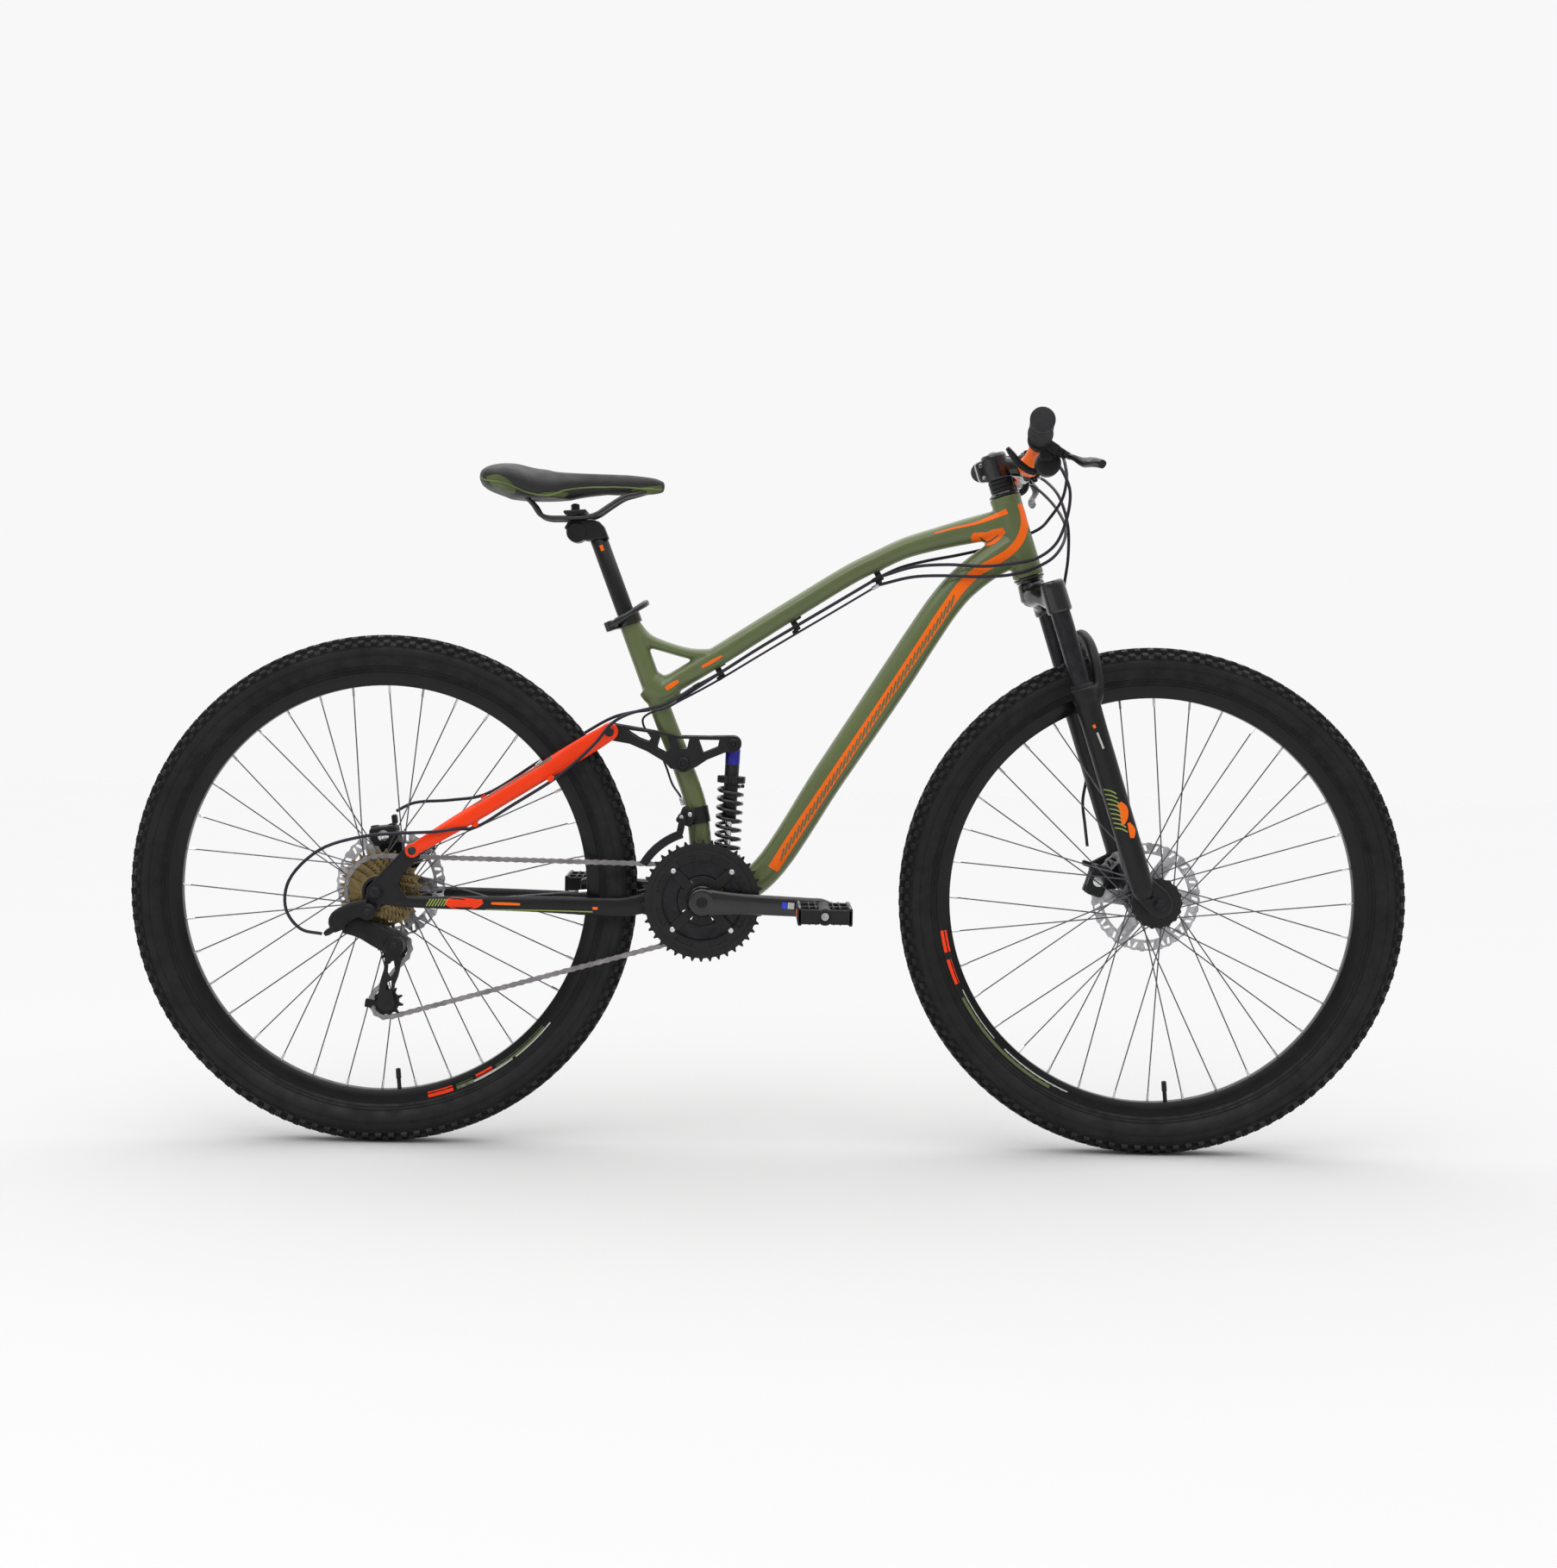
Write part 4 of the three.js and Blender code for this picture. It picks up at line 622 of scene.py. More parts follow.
TOP_TUBE = [(345, 0, 908, 17, 22), (326, 0, 903, 17, 21), (276, 0, 891, 17, 18.5), (250, 0, 884, 16.5, 17),
            (190, 0, 866, 16, 15), (152, 0, 848, 16, 14.5), (115, 0, 829, 16, 14.5), (29, 0, 775, 16, 14.5),
            (-82, 0, 703, 15.5, 15), (-165, 0, 651, 14, 15)]
DOWN_TUBE = [(352, 0, 872, 20, 27), (310, 0, 846, 21, 24), (271, 0, 814, 22, 23.5), (246, 0, 784, 22, 23.5),
             (222, 0, 748, 22, 23.8), (176, 0, 675, 22, 24.4), (85, 0, 535, 22, 23), (-5, 0, 396, 21, 21.5),
             (-46, 0, 366, 20, 20.5), (-94, 0, 358, 18, 19)]
SEAT_TUBE = [(-211, 0, 762, 15, 15), (-160.8, 0, 631, 15, 15), (-126, 0, 545, 15, 15), (-108, 0, 495, 15, 15.5),
             (-101, 0, 455, 15, 16), (-97, 0, 410, 15, 16), (-94, 0, 358, 15, 16)]
GUSSET = [(-206, 0, 748, 11, 15), (-182, 0, 728, 11, 10), (-152, 0, 717, 11, 8), (-115, 0, 708, 12, 8),
          (-70, 0, 708, 13, 9)]

head_shape = moved(turn((0, 0, 0), (0, 0, 121), [(0, 21), (0.8, 22.6), (6, 22.6), (10, 21.8), (60, 21.4), (111, 21.8),
                                                 (115, 22.6), (120.2, 22.6), (121, 21)], 48), STEERING)
head_web = loft([(352, 0, 893, 13, 30), (330, 0, 884, 12, 26), (306, 0, 872, 10, 16)], 20, 5)
seat_cluster = loft([(-176, 0, 664, 16, 22), (-160, 0, 652, 16.5, 24), (-140, 0, 664, 15.5, 18)], 20, 5)
shell_shape = axle(CRANK, -36.4, 36.4, 20.9, 1.2, 48)
pivot_boss = plate(arc(SWINGARM_PIVOT, 14, 90, 270, 10) + [(-100, 340), (-94, 340), (-94, 377), (-100, 377)], -24, 24, (), 2)
shock_ears = plate([(-80, 364), (-77, 396), *arc(SHOCK_BOTTOM, 12.5, 160, 10, 8), (-34, 372), (-50, 356)], 13.6, 18, (), 1)
main_frame = make("frame_tubes", OLIVE, "frame", [
    loft(TOP_TUBE, 32, 8, power=2.3), loft(DOWN_TUBE, 32, 8, power=2.3), loft(SEAT_TUBE, 28, 6), loft(GUSSET, 24, 6),
    head_shape, head_web, seat_cluster, shell_shape, pivot_boss, axle(ROCKER_PIVOT, -18.6, 18.6, 12), *both(shock_ears),
], ["main_frame"], 1.7, 9)
make("pivot_bolts", DARK_STEEL, "frame", [
    axle(ROCKER_PIVOT, -30, 30, 5), *both(axle(ROCKER_PIVOT, -30, -25.8, 8.8, 1.2), hexagon(ROCKER_PIVOT, -30.8, -29, 4)),
    axle(SWINGARM_PIVOT, -35.3, 35.3, 4.9), axle(SHOCK_BOTTOM, -20, 20, 3.9)], ["main_frame"])
make("seat_tube_rim", SATIN_BLACK, "frame", [moved(turn((0, 0, -3), (0, 0, 0), [(0, 14.6), (2.6, 14.6), (2.6, 13), (0, 13)],
                                                        32, True), SEAT)])
stops = []
for x, z in ((152, 830), (33, 756.5), (-75, 687.5)):
    stops.append(block((x, 0, z + 4), (17, 9, 5), -31, 1.5, 0.8))
    for y in (-6, 0, 6):
        stops.append(block((x, y, z - (7 if y else 14)), (9, 5.6, 6.4), -31, 2, 1))
    stops.append(block((x, 0, z - 5), (9, 3, 16), -31, 1, 0.5))
make("cable_guides", SATIN_BLACK, "frame", stops)


def frame_decal(name, material, *strips, **options):
    for side, label in ((-1, "right"), (1, "left")):
        sticker(f"{name}_{label}", material, main_frame, "frame", strips, side, **options)


frame_decal("head_loop", DECAL_ORANGE, [
    (350, 931, 3), (356, 922, 5.5), (359, 906, 6), (356, 889, 6), (348, 873, 6), (334, 859, 6), (314, 846, 6.5),
    (290, 831, 7), (268, 809, 7.5), (250, 783, 7.5)])
frame_decal("down_tube_stripe", DECAL_ORANGE, [(250, 783, 7.5), (230, 752, 7.5), (207, 716, 7), (158, 640, 6.5), (94, 541, 7),
                                               (36, 450, 8), (6, 401, 8)])
HATCH_START, HATCH_END = Vector((262, 0, 798)), Vector((14, 0, 414))
hatch = []
for k in range(1, 46):
    spot = HATCH_START.lerp(HATCH_END, k / 46)
    hatch.append([(spot.x - 2, spot.z - 9, 1.1), (spot.x, spot.z, 1.3), (spot.x + 2, spot.z + 9, 1.1)])
frame_decal("down_tube_hatch", OLIVE, *hatch, across=2, per=4, lift=0.5)
frame_decal("head_patch", DECAL_ORANGE, [(284, 886, 4), (292, 881, 9), (306, 880, 10), (318, 886, 9), (330, 893, 4)])
frame_decal("head_patch_line", OLIVE_DARK, [(296, 882, 1), (306, 876, 1), (322, 886, 1)], across=2, lift=0.5)
frame_decal("top_stripe", DECAL_ORANGE, [(333, 920, 4), (312, 911, 3), (288, 902, 2), (255, 894, 1.4), (230, 887, 1)])
frame_decal("top_tube_mark", DECAL_ORANGE, [(-101, 689, 1.8), (-87, 697, 2.4), (-72, 706, 1.2)])
frame_decal("seat_cluster_mark", DECAL_ORANGE, [(-152, 657, 3), (-143, 663, 3.4), (-134, 669, 2)])

make("upper_cup", GLOSS_BLACK, "frame", [moved(turn((0, 0, 121.3), (0, 0, 127.5), [
    (0, 15), (0, 21.4), (0.8, 22.4), (2.4, 22.4), (4, 19.6), (6, 18.4), (6, 15)], 40, True), STEERING)], ["headset_upper_cup"])
make("lower_cup", GLOSS_BLACK, "frame", [moved(turn((0, 0, -8), (0, 0, -0.3), [
    (0, 15), (0, 19), (3, 20), (4.6, 22.2), (7, 22.2), (7.6, 21.4), (7.6, 15)], 40, True), STEERING)], ["headset_lower_cup"])
make("bottom_bracket_cups", DARK_STEEL, "frame", both(
    ring(CRANK, [(9.4, -37.1), (16.4, -37.1), (16.8, -36.6), (16.8, -20), (9.4, -20)], 40)), ["bottom_bracket"])
make("bottom_bracket_sleeve", DARK_STEEL, "frame", [ring(CRANK, [(11, -20), (15, -20), (15, 20), (11, 20)], 32)])

# front derailleur
make("front_mech_body", CAST_BLACK, "frame", [
    loft([(-107.5, 0, 487, 18.4, 18.6), (-103, 0, 464, 18.4, 18.6)], 32, 3),
    block((-118, -24, 475), (22, 11, 26), 20, 5, 2), block((-126, -31, 472), (13, 11, 14), 30, 4, 1.5),
    block((-112, -29, 482), (12, 6, 10), -10, 3, 1)], ["front_derailleur_body"])
make("front_mech_bolts", CHROME, "frame", [axle((-114, 478), -33.4, -28, 3.4), axle((-126, 474), -37.6, -36, 3.2)])


def mech_cage(inner, outer, start, stop):
    return arc(CRANK, inner, start, stop, 12) + arc(CRANK, outer, stop, start, 12)


make("front_mech_cage", DARK_STEEL, "front_derailleur_cage", [
    plate(mech_cage(92, 104, 108, 150), -35.4, -34, (), 0.4), plate(mech_cage(92, 104, 108, 150), -46, -44.6, (), 0.4),
    plate(mech_cage(100, 104, 108, 130), -45.4, -34.4, (), 0.4),
    block((-126, -37.4, 461), (10, 4, 24), 12, 3, 1)], ["front_derailleur_cage"])


# ---- seat ---------------------------------------------------------------------------------

make("seat_collar_band", GLOSS_BLACK, "frame", [
    moved(turn((0, 0, -15), (0, 0, 2), [(0, 16), (0, 18.2), (0.8, 19), (16, 19), (17, 18.2), (17, 13.2), (14, 13.2),
                                        (14, 16)], 40, True), SEAT),
    *[moved(block((-25, y, -7), (17, 6.4, 14), 0, 3, 1), SEAT) for y in (-4.6, 4.6)]], ["seat_collar"])
make("seat_collar_nut", CHROME, "frame", [moved(turn((-27, 8, -7), (-27, 17, -7), [(0, 6), (1, 7), (7, 6.6), (9, 4)], 20), SEAT)])
make("seat_lever", GLOSS_BLACK, "seat_clamp_lever", [
    moved(rod((-27, -16, -14), (-27, -16, 0), 7.4, 1, 24), SEAT),
    moved(loft([(-27, -19, -7, 5, 4), (-16, -24.5, -5, 5, 3.6), (2, -26.5, -1, 4.4, 3), (18, -19.5, 3, 4.4, 3),
                (30, -8, 6, 5, 3.2), (34, 1, 7, 4.6, 3)], 16, 6, UP), SEAT)], ["seat_clamp_lever"])

HEAD_OUTLINE = [(-268, 868), (-238, 872), (-245, 889), (-252, 896), (-262, 899), (-286, 899), (-297, 895), (-302, 886),
                (-292, 876), (-280, 870)]
seat_post = make("seat_post_tube", SATIN_BLACK, "seatpost", [
    moved(turn((0, 0, -110), (0, 0, 118), [(0, 12), (0.8, 12.6), (227, 12.6), (228, 12)], 36), SEAT),
    plate(HEAD_OUTLINE, -14.6, 14.6, (), 3), axle((-284, 880), -16.8, 16.8, 14.8, 2)], ["seatpost"])
make("seat_post_grooves", CAST_BLACK, "seatpost", [moved(turn((0, 0, z), (0, 0, z + 1), [
    (0, 12.2), (0, 12.68), (0.8, 12.68), (0.8, 12.2)], 36, True), SEAT) for z in (14, 18, 22, 26, 30)])
for side, label in ((-1, "right"), (1, "left")):
    sticker(f"seat_post_mark_{label}", DECAL_ORANGE, seat_post, "seatpost", [[(-249, 862, 2.4), (-246, 854, 2.4)]], side)
make("saddle_clamp_plates", CAST_BLACK, "saddle", [
    block((-286, 0, 909), (33, 56, 4.4), -4, 4, 1.4), block((-286, -22, 906.8), (30, 9, 4), -4, 2, 1),
    block((-286, 22, 906.8), (30, 9, 4), -4, 2, 1), rod((-287, 0, 909), (-288, 0, 921), 6.6, 1, 6),
    rod((-287.8, 0, 915), (-288, 0, 922), 3.4, 0.6, 16)], ["saddle_clamp"])

RAIL = [(-372, -38, 941), (-358, -31, 930), (-346, -27, 918), (-336, -23.5, 904), (-326, -22, 900), (-308, -22, 899.5),
        (-268, -22, 902), (-255, -22, 906), (-236, -20.5, 919), (-217, -19, 931), (-200, -14, 936), (-186, -10, 940)]
make("saddle_rail_wires", GLOSS_BLACK, "saddle", both(pipe(RAIL, 3.4, 14)), ["saddle_rails"])

SADDLE = [(-423, 0, 962, 34, 7), (-420, 0, 961, 50, 13), (-411, 0, 958, 62, 19), (-385, 0, 955.5, 71, 23),
          (-348, 0, 944, 62, 27), (-322, 0, 942.5, 50, 26.4), (-300, 0, 947, 39, 19.5), (-250, 0, 951, 25.5, 15), (-205, 0, 951, 21.5, 14.6),
          (-175, 0, 950, 18.5, 14.4), (-161, 0, 949, 12.5, 11.5), (-156.5, 0, 949, 6, 6)]


def saddle_form():
    """The padded top: a lofted shell, swollen by a cloth simulation with air pressure."""
    rows = [(x, y, z - 0.8, w - 2.6, d - 2.2) for x, y, z, w, d in SADDLE]
    ob = raw("saddle_pad", [loft(rows, 40, 5, power=2.5)])
    remesh = ob.modifiers.new("weld", "REMESH")
    remesh.mode = "VOXEL"
    remesh.voxel_size = 0.005
    applied(ob)
    start = [v.co.copy() for v in ob.data.vertices]
    cloth = ob.modifiers.new("padding", "CLOTH")
    cloth.settings.use_pressure = True
    cloth.settings.uniform_pressure_force = 4
    cloth.settings.effector_weights.gravity = 0
    cloth.settings.tension_stiffness = 40
    for step in range(1, 13):
        bpy.context.scene.frame_set(step)
    applied(ob)
    bpy.context.scene.frame_set(1)
    low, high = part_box("saddle")
    for vertex, before in zip(ob.data.vertices, start):
        shift = vertex.co - before
        if shift.length > 0.0035:
            vertex.co = before + shift.normalized() * 0.0035
        sunk = 1 - math.exp(-(vertex.co.y / 0.011) ** 2)
        if vertex.co.z > 0.958:
            vertex.co.z -= 0.0016 * (1 - sunk)
        for axis in range(3):
            vertex.co[axis] = min(max(vertex.co[axis], low[axis] + 0.0004), high[axis] - 0.0004)
    relax = ob.modifiers.new("relax", "SMOOTH")
    relax.iterations = 4
    ob.modifiers.new("fine", "SUBSURF").levels = 1
    applied(ob)
    finished(ob, LEATHER, "saddle", ["saddle"], 80)
    return ob


saddle = saddle_form()
for side, label in ((-1, "right"), (1, "left")):
    for name, strips in (("rear", [[(-409, 953, 1), (-396, 948, 9), (-380, 941, 8), (-368, 934, 3)]]),
                         ("wing", [[(-352, 922, 2), (-338, 924, 7), (-322, 926, 8), (-306, 931, 5), (-296, 935, 1)]]),
                         ("nose", [[(-206, 941, 2), (-190, 940, 6), (-172, 941, 7), (-162, 945, 5)]])):
        sticker(f"saddle_{name}_{label}", OLIVE_VINYL, saddle, "saddle", strips, side, per=5)
saddle_skin = BVHTree.FromObject(saddle, bpy.context.evaluated_depsgraph_get())
seam = []
for x, _, z, width, depth in curve(SADDLE[1:-1], 5):
    spot, facing, _, _ = saddle_skin.find_nearest(Vector((x, -0.93 * width, z - 0.55 * depth)) * MM)
    seam.append(tuple(spot / MM + facing * 0.3))
make("saddle_piping", PIPING, "saddle", both(pipe(seam, 1.1, 8, 1, UP)))


# ---- fork ---------------------------------------------------------------------------------

def steered(*shapes):
    return [moved(shape, STEERING) for shape in shapes]


crown_half = loft([(3, 0, -29, 22, 16), (6, -14, -29, 21.5, 15), (12, -32, -31, 20, 14.5), (18, -48, -38, 18.5, 17),
                   (20, -62, -43, 17.6, 18.4)], 28, 6, FORWARD, 2.6)
socket = turn((20, -62, -15), (20, -62, -62), [(0, 13), (2, 16.4), (8, 17.6), (44, 18), (46, 17.4), (47, 15)], 36)
make("fork_crown", GLOSS_BLACK, "steering", steered(
    *both(crown_half, socket), turn((0, 0, -8.4), (0, 0, -34), [(0, 17), (1, 19), (25.6, 21)], 36)),
    ["fork_uppers"], 1.6, 4)
make("stanchions", DARK_STEEL, "steering", steered(
    *both(rod((20, -62, -30), (20, -62, -299), 13.9, 0.8, 40)), rod((0, 0, -10), (0, 0, 180.5), 14.2, 0.6, 32)))
make("headset_spacers", SATIN_BLACK, "steering", steered(*[
    turn((0, 0, z), (0, 0, z + 5.6), [(0, 14.6), (0, 17.2), (0.5, 17.8), (5.1, 17.8), (5.6, 17.2), (5.6, 14.6)], 36, True)
    for z in (128.1, 134, 139.9)]))

leg = turn((20, -62, -172), (20, -62, -484), [(0, 15), (1, 18.6), (6, 19.3), (16, 19.3), (22, 17.8), (60, 17.2), (190, 17),
                                              (270, 17), (300, 16), (311, 12), (312, 9)], 40)
dropout = plate([(4, -455), (34, -455), (52, -482), *arc((36.5, -497.6), 18.6, 10, -150, 14), (12, -490)], -66.6, -50.4, (), 2.4)
arch = loft([(25, -62, -200, 11, 12), (37, -63, -187, 9, 11), (44, -60, -170, 8, 9.5), (49, -51, -137, 8, 8.5),
             (50, -40, -118, 8, 8.5), (49, -22, -107, 8, 9), (48, 0, -103.5, 8, 9.5), (49, 22, -107, 8, 9),
             (50, 40, -118, 8, 8.5), (49, 51, -137, 8, 8.5), (44, 60, -170, 8, 9.5), (37, 63, -187, 9, 11),
             (25, 62, -200, 11, 12)], 24, 5, FORWARD, 2.4)
brake_tab = plate([(20, -420), (-25, -428), (-31, -446), (-16, -477), (20, -477)], 56.4, 62.8, (), 1)
fork_lowers = make("fork_lower_legs", SATIN_BLACK, "fork_lowers", steered(*both(leg, dropout), arch, brake_tab),
                   ["fork_lowers"], 1.6, 4)
make("fork_seals", PLASTIC, "fork_lowers", steered(*both(
    turn((20, -62, -167), (20, -62, -175), [(0, 14.3), (0, 15.4), (2, 16.6), (5, 17.4), (8, 17.4), (8, 14.3)], 36, True))))
make("fork_foot_bolts", CHROME, "fork_lowers", steered(*both(rod((20, -62, -483), (20, -62, -489), 4, 0.6, 16))))
make("front_axle_nuts", DARK_STEEL, "fork_lowers", [
    axle(FRONT_AXLE, -73.5, 73.5, 4.9), *both(axle(FRONT_AXLE, -70.5, -67.4, 8.9, 0.8), hexagon(FRONT_AXLE, -74, -70, 8))],
    ["front_axle"])
axis = STEERING.to_3x3() @ UP


def leg_decal(name, material, *strips):
    for side, label in ((-1, "right"), (1, "left")):
        placed = [[(p.x, p.z, half) for f, s, half in rows for p in [STEERING @ Vector((f, 0, s))]] for rows in strips]
        sticker(f"{name}_{label}", material, fork_lowers, "fork_lowers", placed, side, across=4, per=4)


leg_decal("leg_hatch", LIME, *[[(6, -318 - 7 * k, 0.9), (14, -322 - 7 * k, 0.9), (20, -328 - 7 * k, 0.9)] for k in range(9)])
leg_decal("leg_mark", DECAL_ORANGE, [(20, -342, 4), (24, -352, 6), (21, -364, 5), (17, -372, 2)],
          [(25, -372, 2), (27, -384, 5), (24, -394, 3)], [(17, -226, 2), (18, -231, 2)])
leg_decal("leg_line_pale", PALE, [(19, -238, 1.4), (20, -250, 1.4), (21, -262, 1.4)])


# ---- stem and handlebar --------------------------------------------------------------------

BAR_Y = [(0, 363, 984.3, 15.9), (26, 363, 984.3, 15.9), (55, 363, 985.3, 14.5), (95, 362, 994.3, 12),
         (140, 360, 1002.3, 11.1), (230, 350, 1006.8, 11.1), (349, 336.1, 1011.3, 11.1)]
BAR = [(x, -y, z, r, r) for y, x, z, r in BAR_Y[:0:-1]] + [(x, y, z, r, r) for y, x, z, r in BAR_Y]
handlebar = make("bar", SATIN_BLACK, "steering", [loft(BAR, 28, 8, FORWARD)], ["handlebar"])


def bar_point(y):
    for (y0, x0, z0, _), (y1, x1, z1, _) in zip(BAR_Y, BAR_Y[1:]):
        if y0 <= y <= y1:
            t = (y - y0) / (y1 - y0)
            return Vector((x0 + (x1 - x0) * t, -y, z0 + (z1 - z0) * t))
    return Vector((BAR_Y[-1][1], -y, BAR_Y[-1][2]))


stem_body = make("stem_body", GLOSS_BLACK, "steering", steered(
    turn((0, 0, 146), (0, 0, 181), [(0, 17.6), (1.2, 18.9), (33.8, 18.9), (35, 17.6)], 40),
    loft([(4, 0, 163.5, 15.5, 15), (20, 0, 159, 14, 14), (40, 0, 152, 18, 15)], 28, 6, power=2.6),
    block((-21, 0, 163.5), (17, 19, 31), 0, 6, 2.5), block((36, 0, 151), (12, 45, 41), 0, 6, 3),
    turn((0, 0, 180), (0, 0, 187), [(0, 17.8), (2.6, 17.8), (4.4, 16), (4.4, 6), (7, 5)], 36)), ["stem"], 1.5, 3)
faceplate = make("stem_cap", GLOSS_BLACK, "steering", steered(
    plate([*arc((42.3, 151), 20.8, -88, 88, 16), *arc((42.3, 151), 16.4, 86, -86, 12)], -22.8, 22.8, (), 1.4),
    *[block((45.5, y, z), (8, 9, 7), 0, 2, 1) for y in (-15, 15) for z in (130.5, 171.5)]), ["stem_faceplate"])
make("stem_bolts", CHROME, "steering", steered(
    *[rod((52, y, z), (54.4, y, z), 2.7, 0.5, 12) for y in (-15, 15) for z in (132, 170)],
    *[rod((-22, -9, z), (-22, -12, z), 3, 0.5, 12) for z in (154, 172)]))
colour_rows = [(bar_point(y).x, -y, bar_point(y).z, r, r) for y, r in ((24, 16.1), (40, 15.8), (55, 14.9), (75, 13.5), (95, 12.3),
                                                                       (118, 11.8), (142, 11.4))]
make("bar_colour", DECAL_ORANGE, "steering", both(loft(colour_rows, 28, 4, FORWARD)))
for side, label in ((-1, "right"), (1, "left")):
    sticker(f"stem_mark_{label}", DECAL_ORANGE, stem_body, "steering", [[(348, 992, 3), (358, 985, 6), (368, 976, 4)]], side)

for side, label in ((-1, "right"), (1, "left")):
    def sided(*shapes):
        return shapes if side < 0 else [flipped(s) for s in shapes]
    length = (bar_point(349) - bar_point(231)).length
    ribs = [(0, 14), (0.5, 17.3), (5, 17.3), (6, 15)]
    for k in range(20):
        ribs += [(8 + 5 * k, 14.6), (9 + 5 * k, 16), (11 + 5 * k, 16), (12 + 5 * k, 14.6)]
    ribs += [(length - 7, 15), (length - 5, 16.6), (length + 2.6, 16.6), (length + 3.4, 14), (length + 3.6, 6)]
    make(f"grip_sleeve_{label}", GRIP, "steering", sided(turn(bar_point(231), bar_point(349), ribs, 36)), [f"grip_{label}"])
    make(f"control_{label}", PLASTIC, "steering", sided(
        turn(bar_point(178), bar_point(197), [(0, 11.6), (0, 15.4), (1.4, 16.4), (17, 16.4), (18.4, 15.4), (18.4, 11.6)],
             32, True),
        block((370, -187, 995), (24, 13, 15), 33, 4, 2), block((385, -186.4, 987), (18, 7, 12), 33, 4, 2),
        turn((388, -183, 987), (391, -158, 986), [(0, 5.6), (6, 5.4), (9, 4.4), (22, 4.2), (25, 3)], 16),
        turn((370, -150, 974), (370, -178, 974), [(0, 12), (1, 16), (4, 17.6), (24, 16.8), (27, 14), (28, 8)], 36),
        block((364, -184, 988), (17, 11, 25), 0, 5, 2)), [f"control_housing_{label}"])
    make(f"control_window_{label}", CHROME, "steering", sided(
        turn((370, -149.4, 974), (370, -151, 974), [(0, 5), (0.5, 7.4), (1.6, 7.6)], 24)))
    hub = (Vector((390.3, -191, 980.2)), Vector((394.3, -191, 986.6)))
    make(f"brake_blade_{label}", DARK_STEEL, f"brake_lever_{label}", sided(
        rod(hub[0], hub[1], 6.6, 0.8, 24),
        loft([(392, -191, 983, 4, 3.4), (399, -205, 978.5, 4.5, 4), (406, -219, 972.6, 4.6, 5.6), (409, -240, 969, 4.4, 7.2),
              (410, -262, 967, 4.2, 7.4), (411, -300, 963, 4.4, 6.4), (414, -320, 960, 4.8, 6), (416.6, -329, 958, 5, 5.6)],
             20, 6, Vector((0.839, 0, -0.545)), 2.5)), [f"brake_lever_{label}"])
    make(f"shift_paddle_{label}", PLASTIC, f"shift_lever_{label}", sided(
        loft([(366, -146, 972, 3.2, 6), (352, -146, 965, 3.8, 5), (335, -148, 974, 4.6, 5), (322, -151.4, 988, 7, 4.4),
              (315.6, -153.6, 996, 4.4, 3)], 18, 6)), [f"shift_lever_{label}"])


# ---- brakes -------------------------------------------------------------------------------

def caliper(end, axle_point, rotor_y, angle, radius, length, foot, body):
    turned = math.radians(angle)
    place = (Matrix.Translation((axle_point[0] + radius * math.cos(turned), rotor_y,
                                 axle_point[1] + radius * math.sin(turned)))
             @ Matrix.Rotation(math.pi - turned, 4, "Y"))
    halves = [block((1, s * 8, 0), (28, 10, length - 2), 0, 7, 3) for s in (-1, 1)]
    bridge = [block((-12, 0, z), (6, 14, 11), 0, 2, 1) for z in (-length / 2 + 9, length / 2 - 9)]
    shapes = [*halves, *bridge, block((-4, (foot + 12) / 2, 0), (18, foot - 12.5, length - 12), 0, 3, 1.2),
              block((-20, 6, length / 2 - 6), (14, 9.6, 8), 0, 3, 1)]
    make(f"{end}_caliper", CAST_BLACK, body, [moved(s, place) for s in shapes], [f"{end}_brake_caliper"])
    trim = [turn((1, -13.6, 0), (1, -15.6, 0), [(0, 8.6), (1.4, 8.2), (2, 5)], 24),
            *[rod((4, 12.4 + (foot - 12) * 0.5, z), (4, foot - 0.4, z), 3.6, 0.6, 12) for z in (-12, 12)]]
    make(f"{end}_caliper_trim", CHROME, body, [moved(s, place) for s in trim])


caliper("front", FRONT_AXLE, 41, 162, 76, 48, 15, "fork_lowers")
caliper("rear", REAR_AXLE, 48, 98, 73, 44, 19.5, "swingarm")


# ---- rear suspension ----------------------------------------------------------------------

STAY = [(-533, -70.6, 354, 3, 8), (-512, -70.2, 352, 4.4, 8.4), (-490, -69, 351, 5.4, 8.5), (-440, -62, 350, 6.4, 9.5),
        (-370, -51, 349, 6.4, 10.5), (-300, -41, 347, 5.8, 12), (-245, -35, 345, 5, 13.4), (-205, -33, 345, 4.5, 14.2),
        (-168, -31, 353, 4.6, 14.6), (-140, -30.3, 360, 4.6, 12.8)]
DROPOUT = [(-567, 370), (-568, 350), (-572, 334), *arc((-562, 338), 11, 200, 340, 8), (-546, 347), (-512, 344), (-506, 352),
           (-513, 364), (-523, 376), (-521, 382), (-508, 399), (-492, 413), *arc(STAY_PIVOT, 10.8, -20, 130, 10)]
rear_drop = plate(DROPOUT, -74, -67.8, (), 1.4)
left_tab = plate([(-560, 368), (-581, 410), (-581, 447), (-547, 447), (-531, 400), (-525, 377)], 67.8, 73.8, (), 1.2)
swingarm = make("chainstays", SATIN_BLACK, "swingarm", [
    *both(loft(STAY, 28, 6, power=2.5), rear_drop, axle(SWINGARM_PIVOT, -34.8, -25.4, 12.8, 1.6)), left_tab,
    block((-168, 0, 354), (17, 62, 27), 0, 6, 3)], ["swingarm"], 1.7, 3)
make("rear_axle_nuts", DARK_STEEL, "swingarm", [
    axle(REAR_AXLE, -81.5, 81.5, 4.9), *both(axle(REAR_AXLE, -77.5, -74.4, 8.9, 0.8), hexagon(REAR_AXLE, -82, -77, 8))],
    ["rear_axle"])
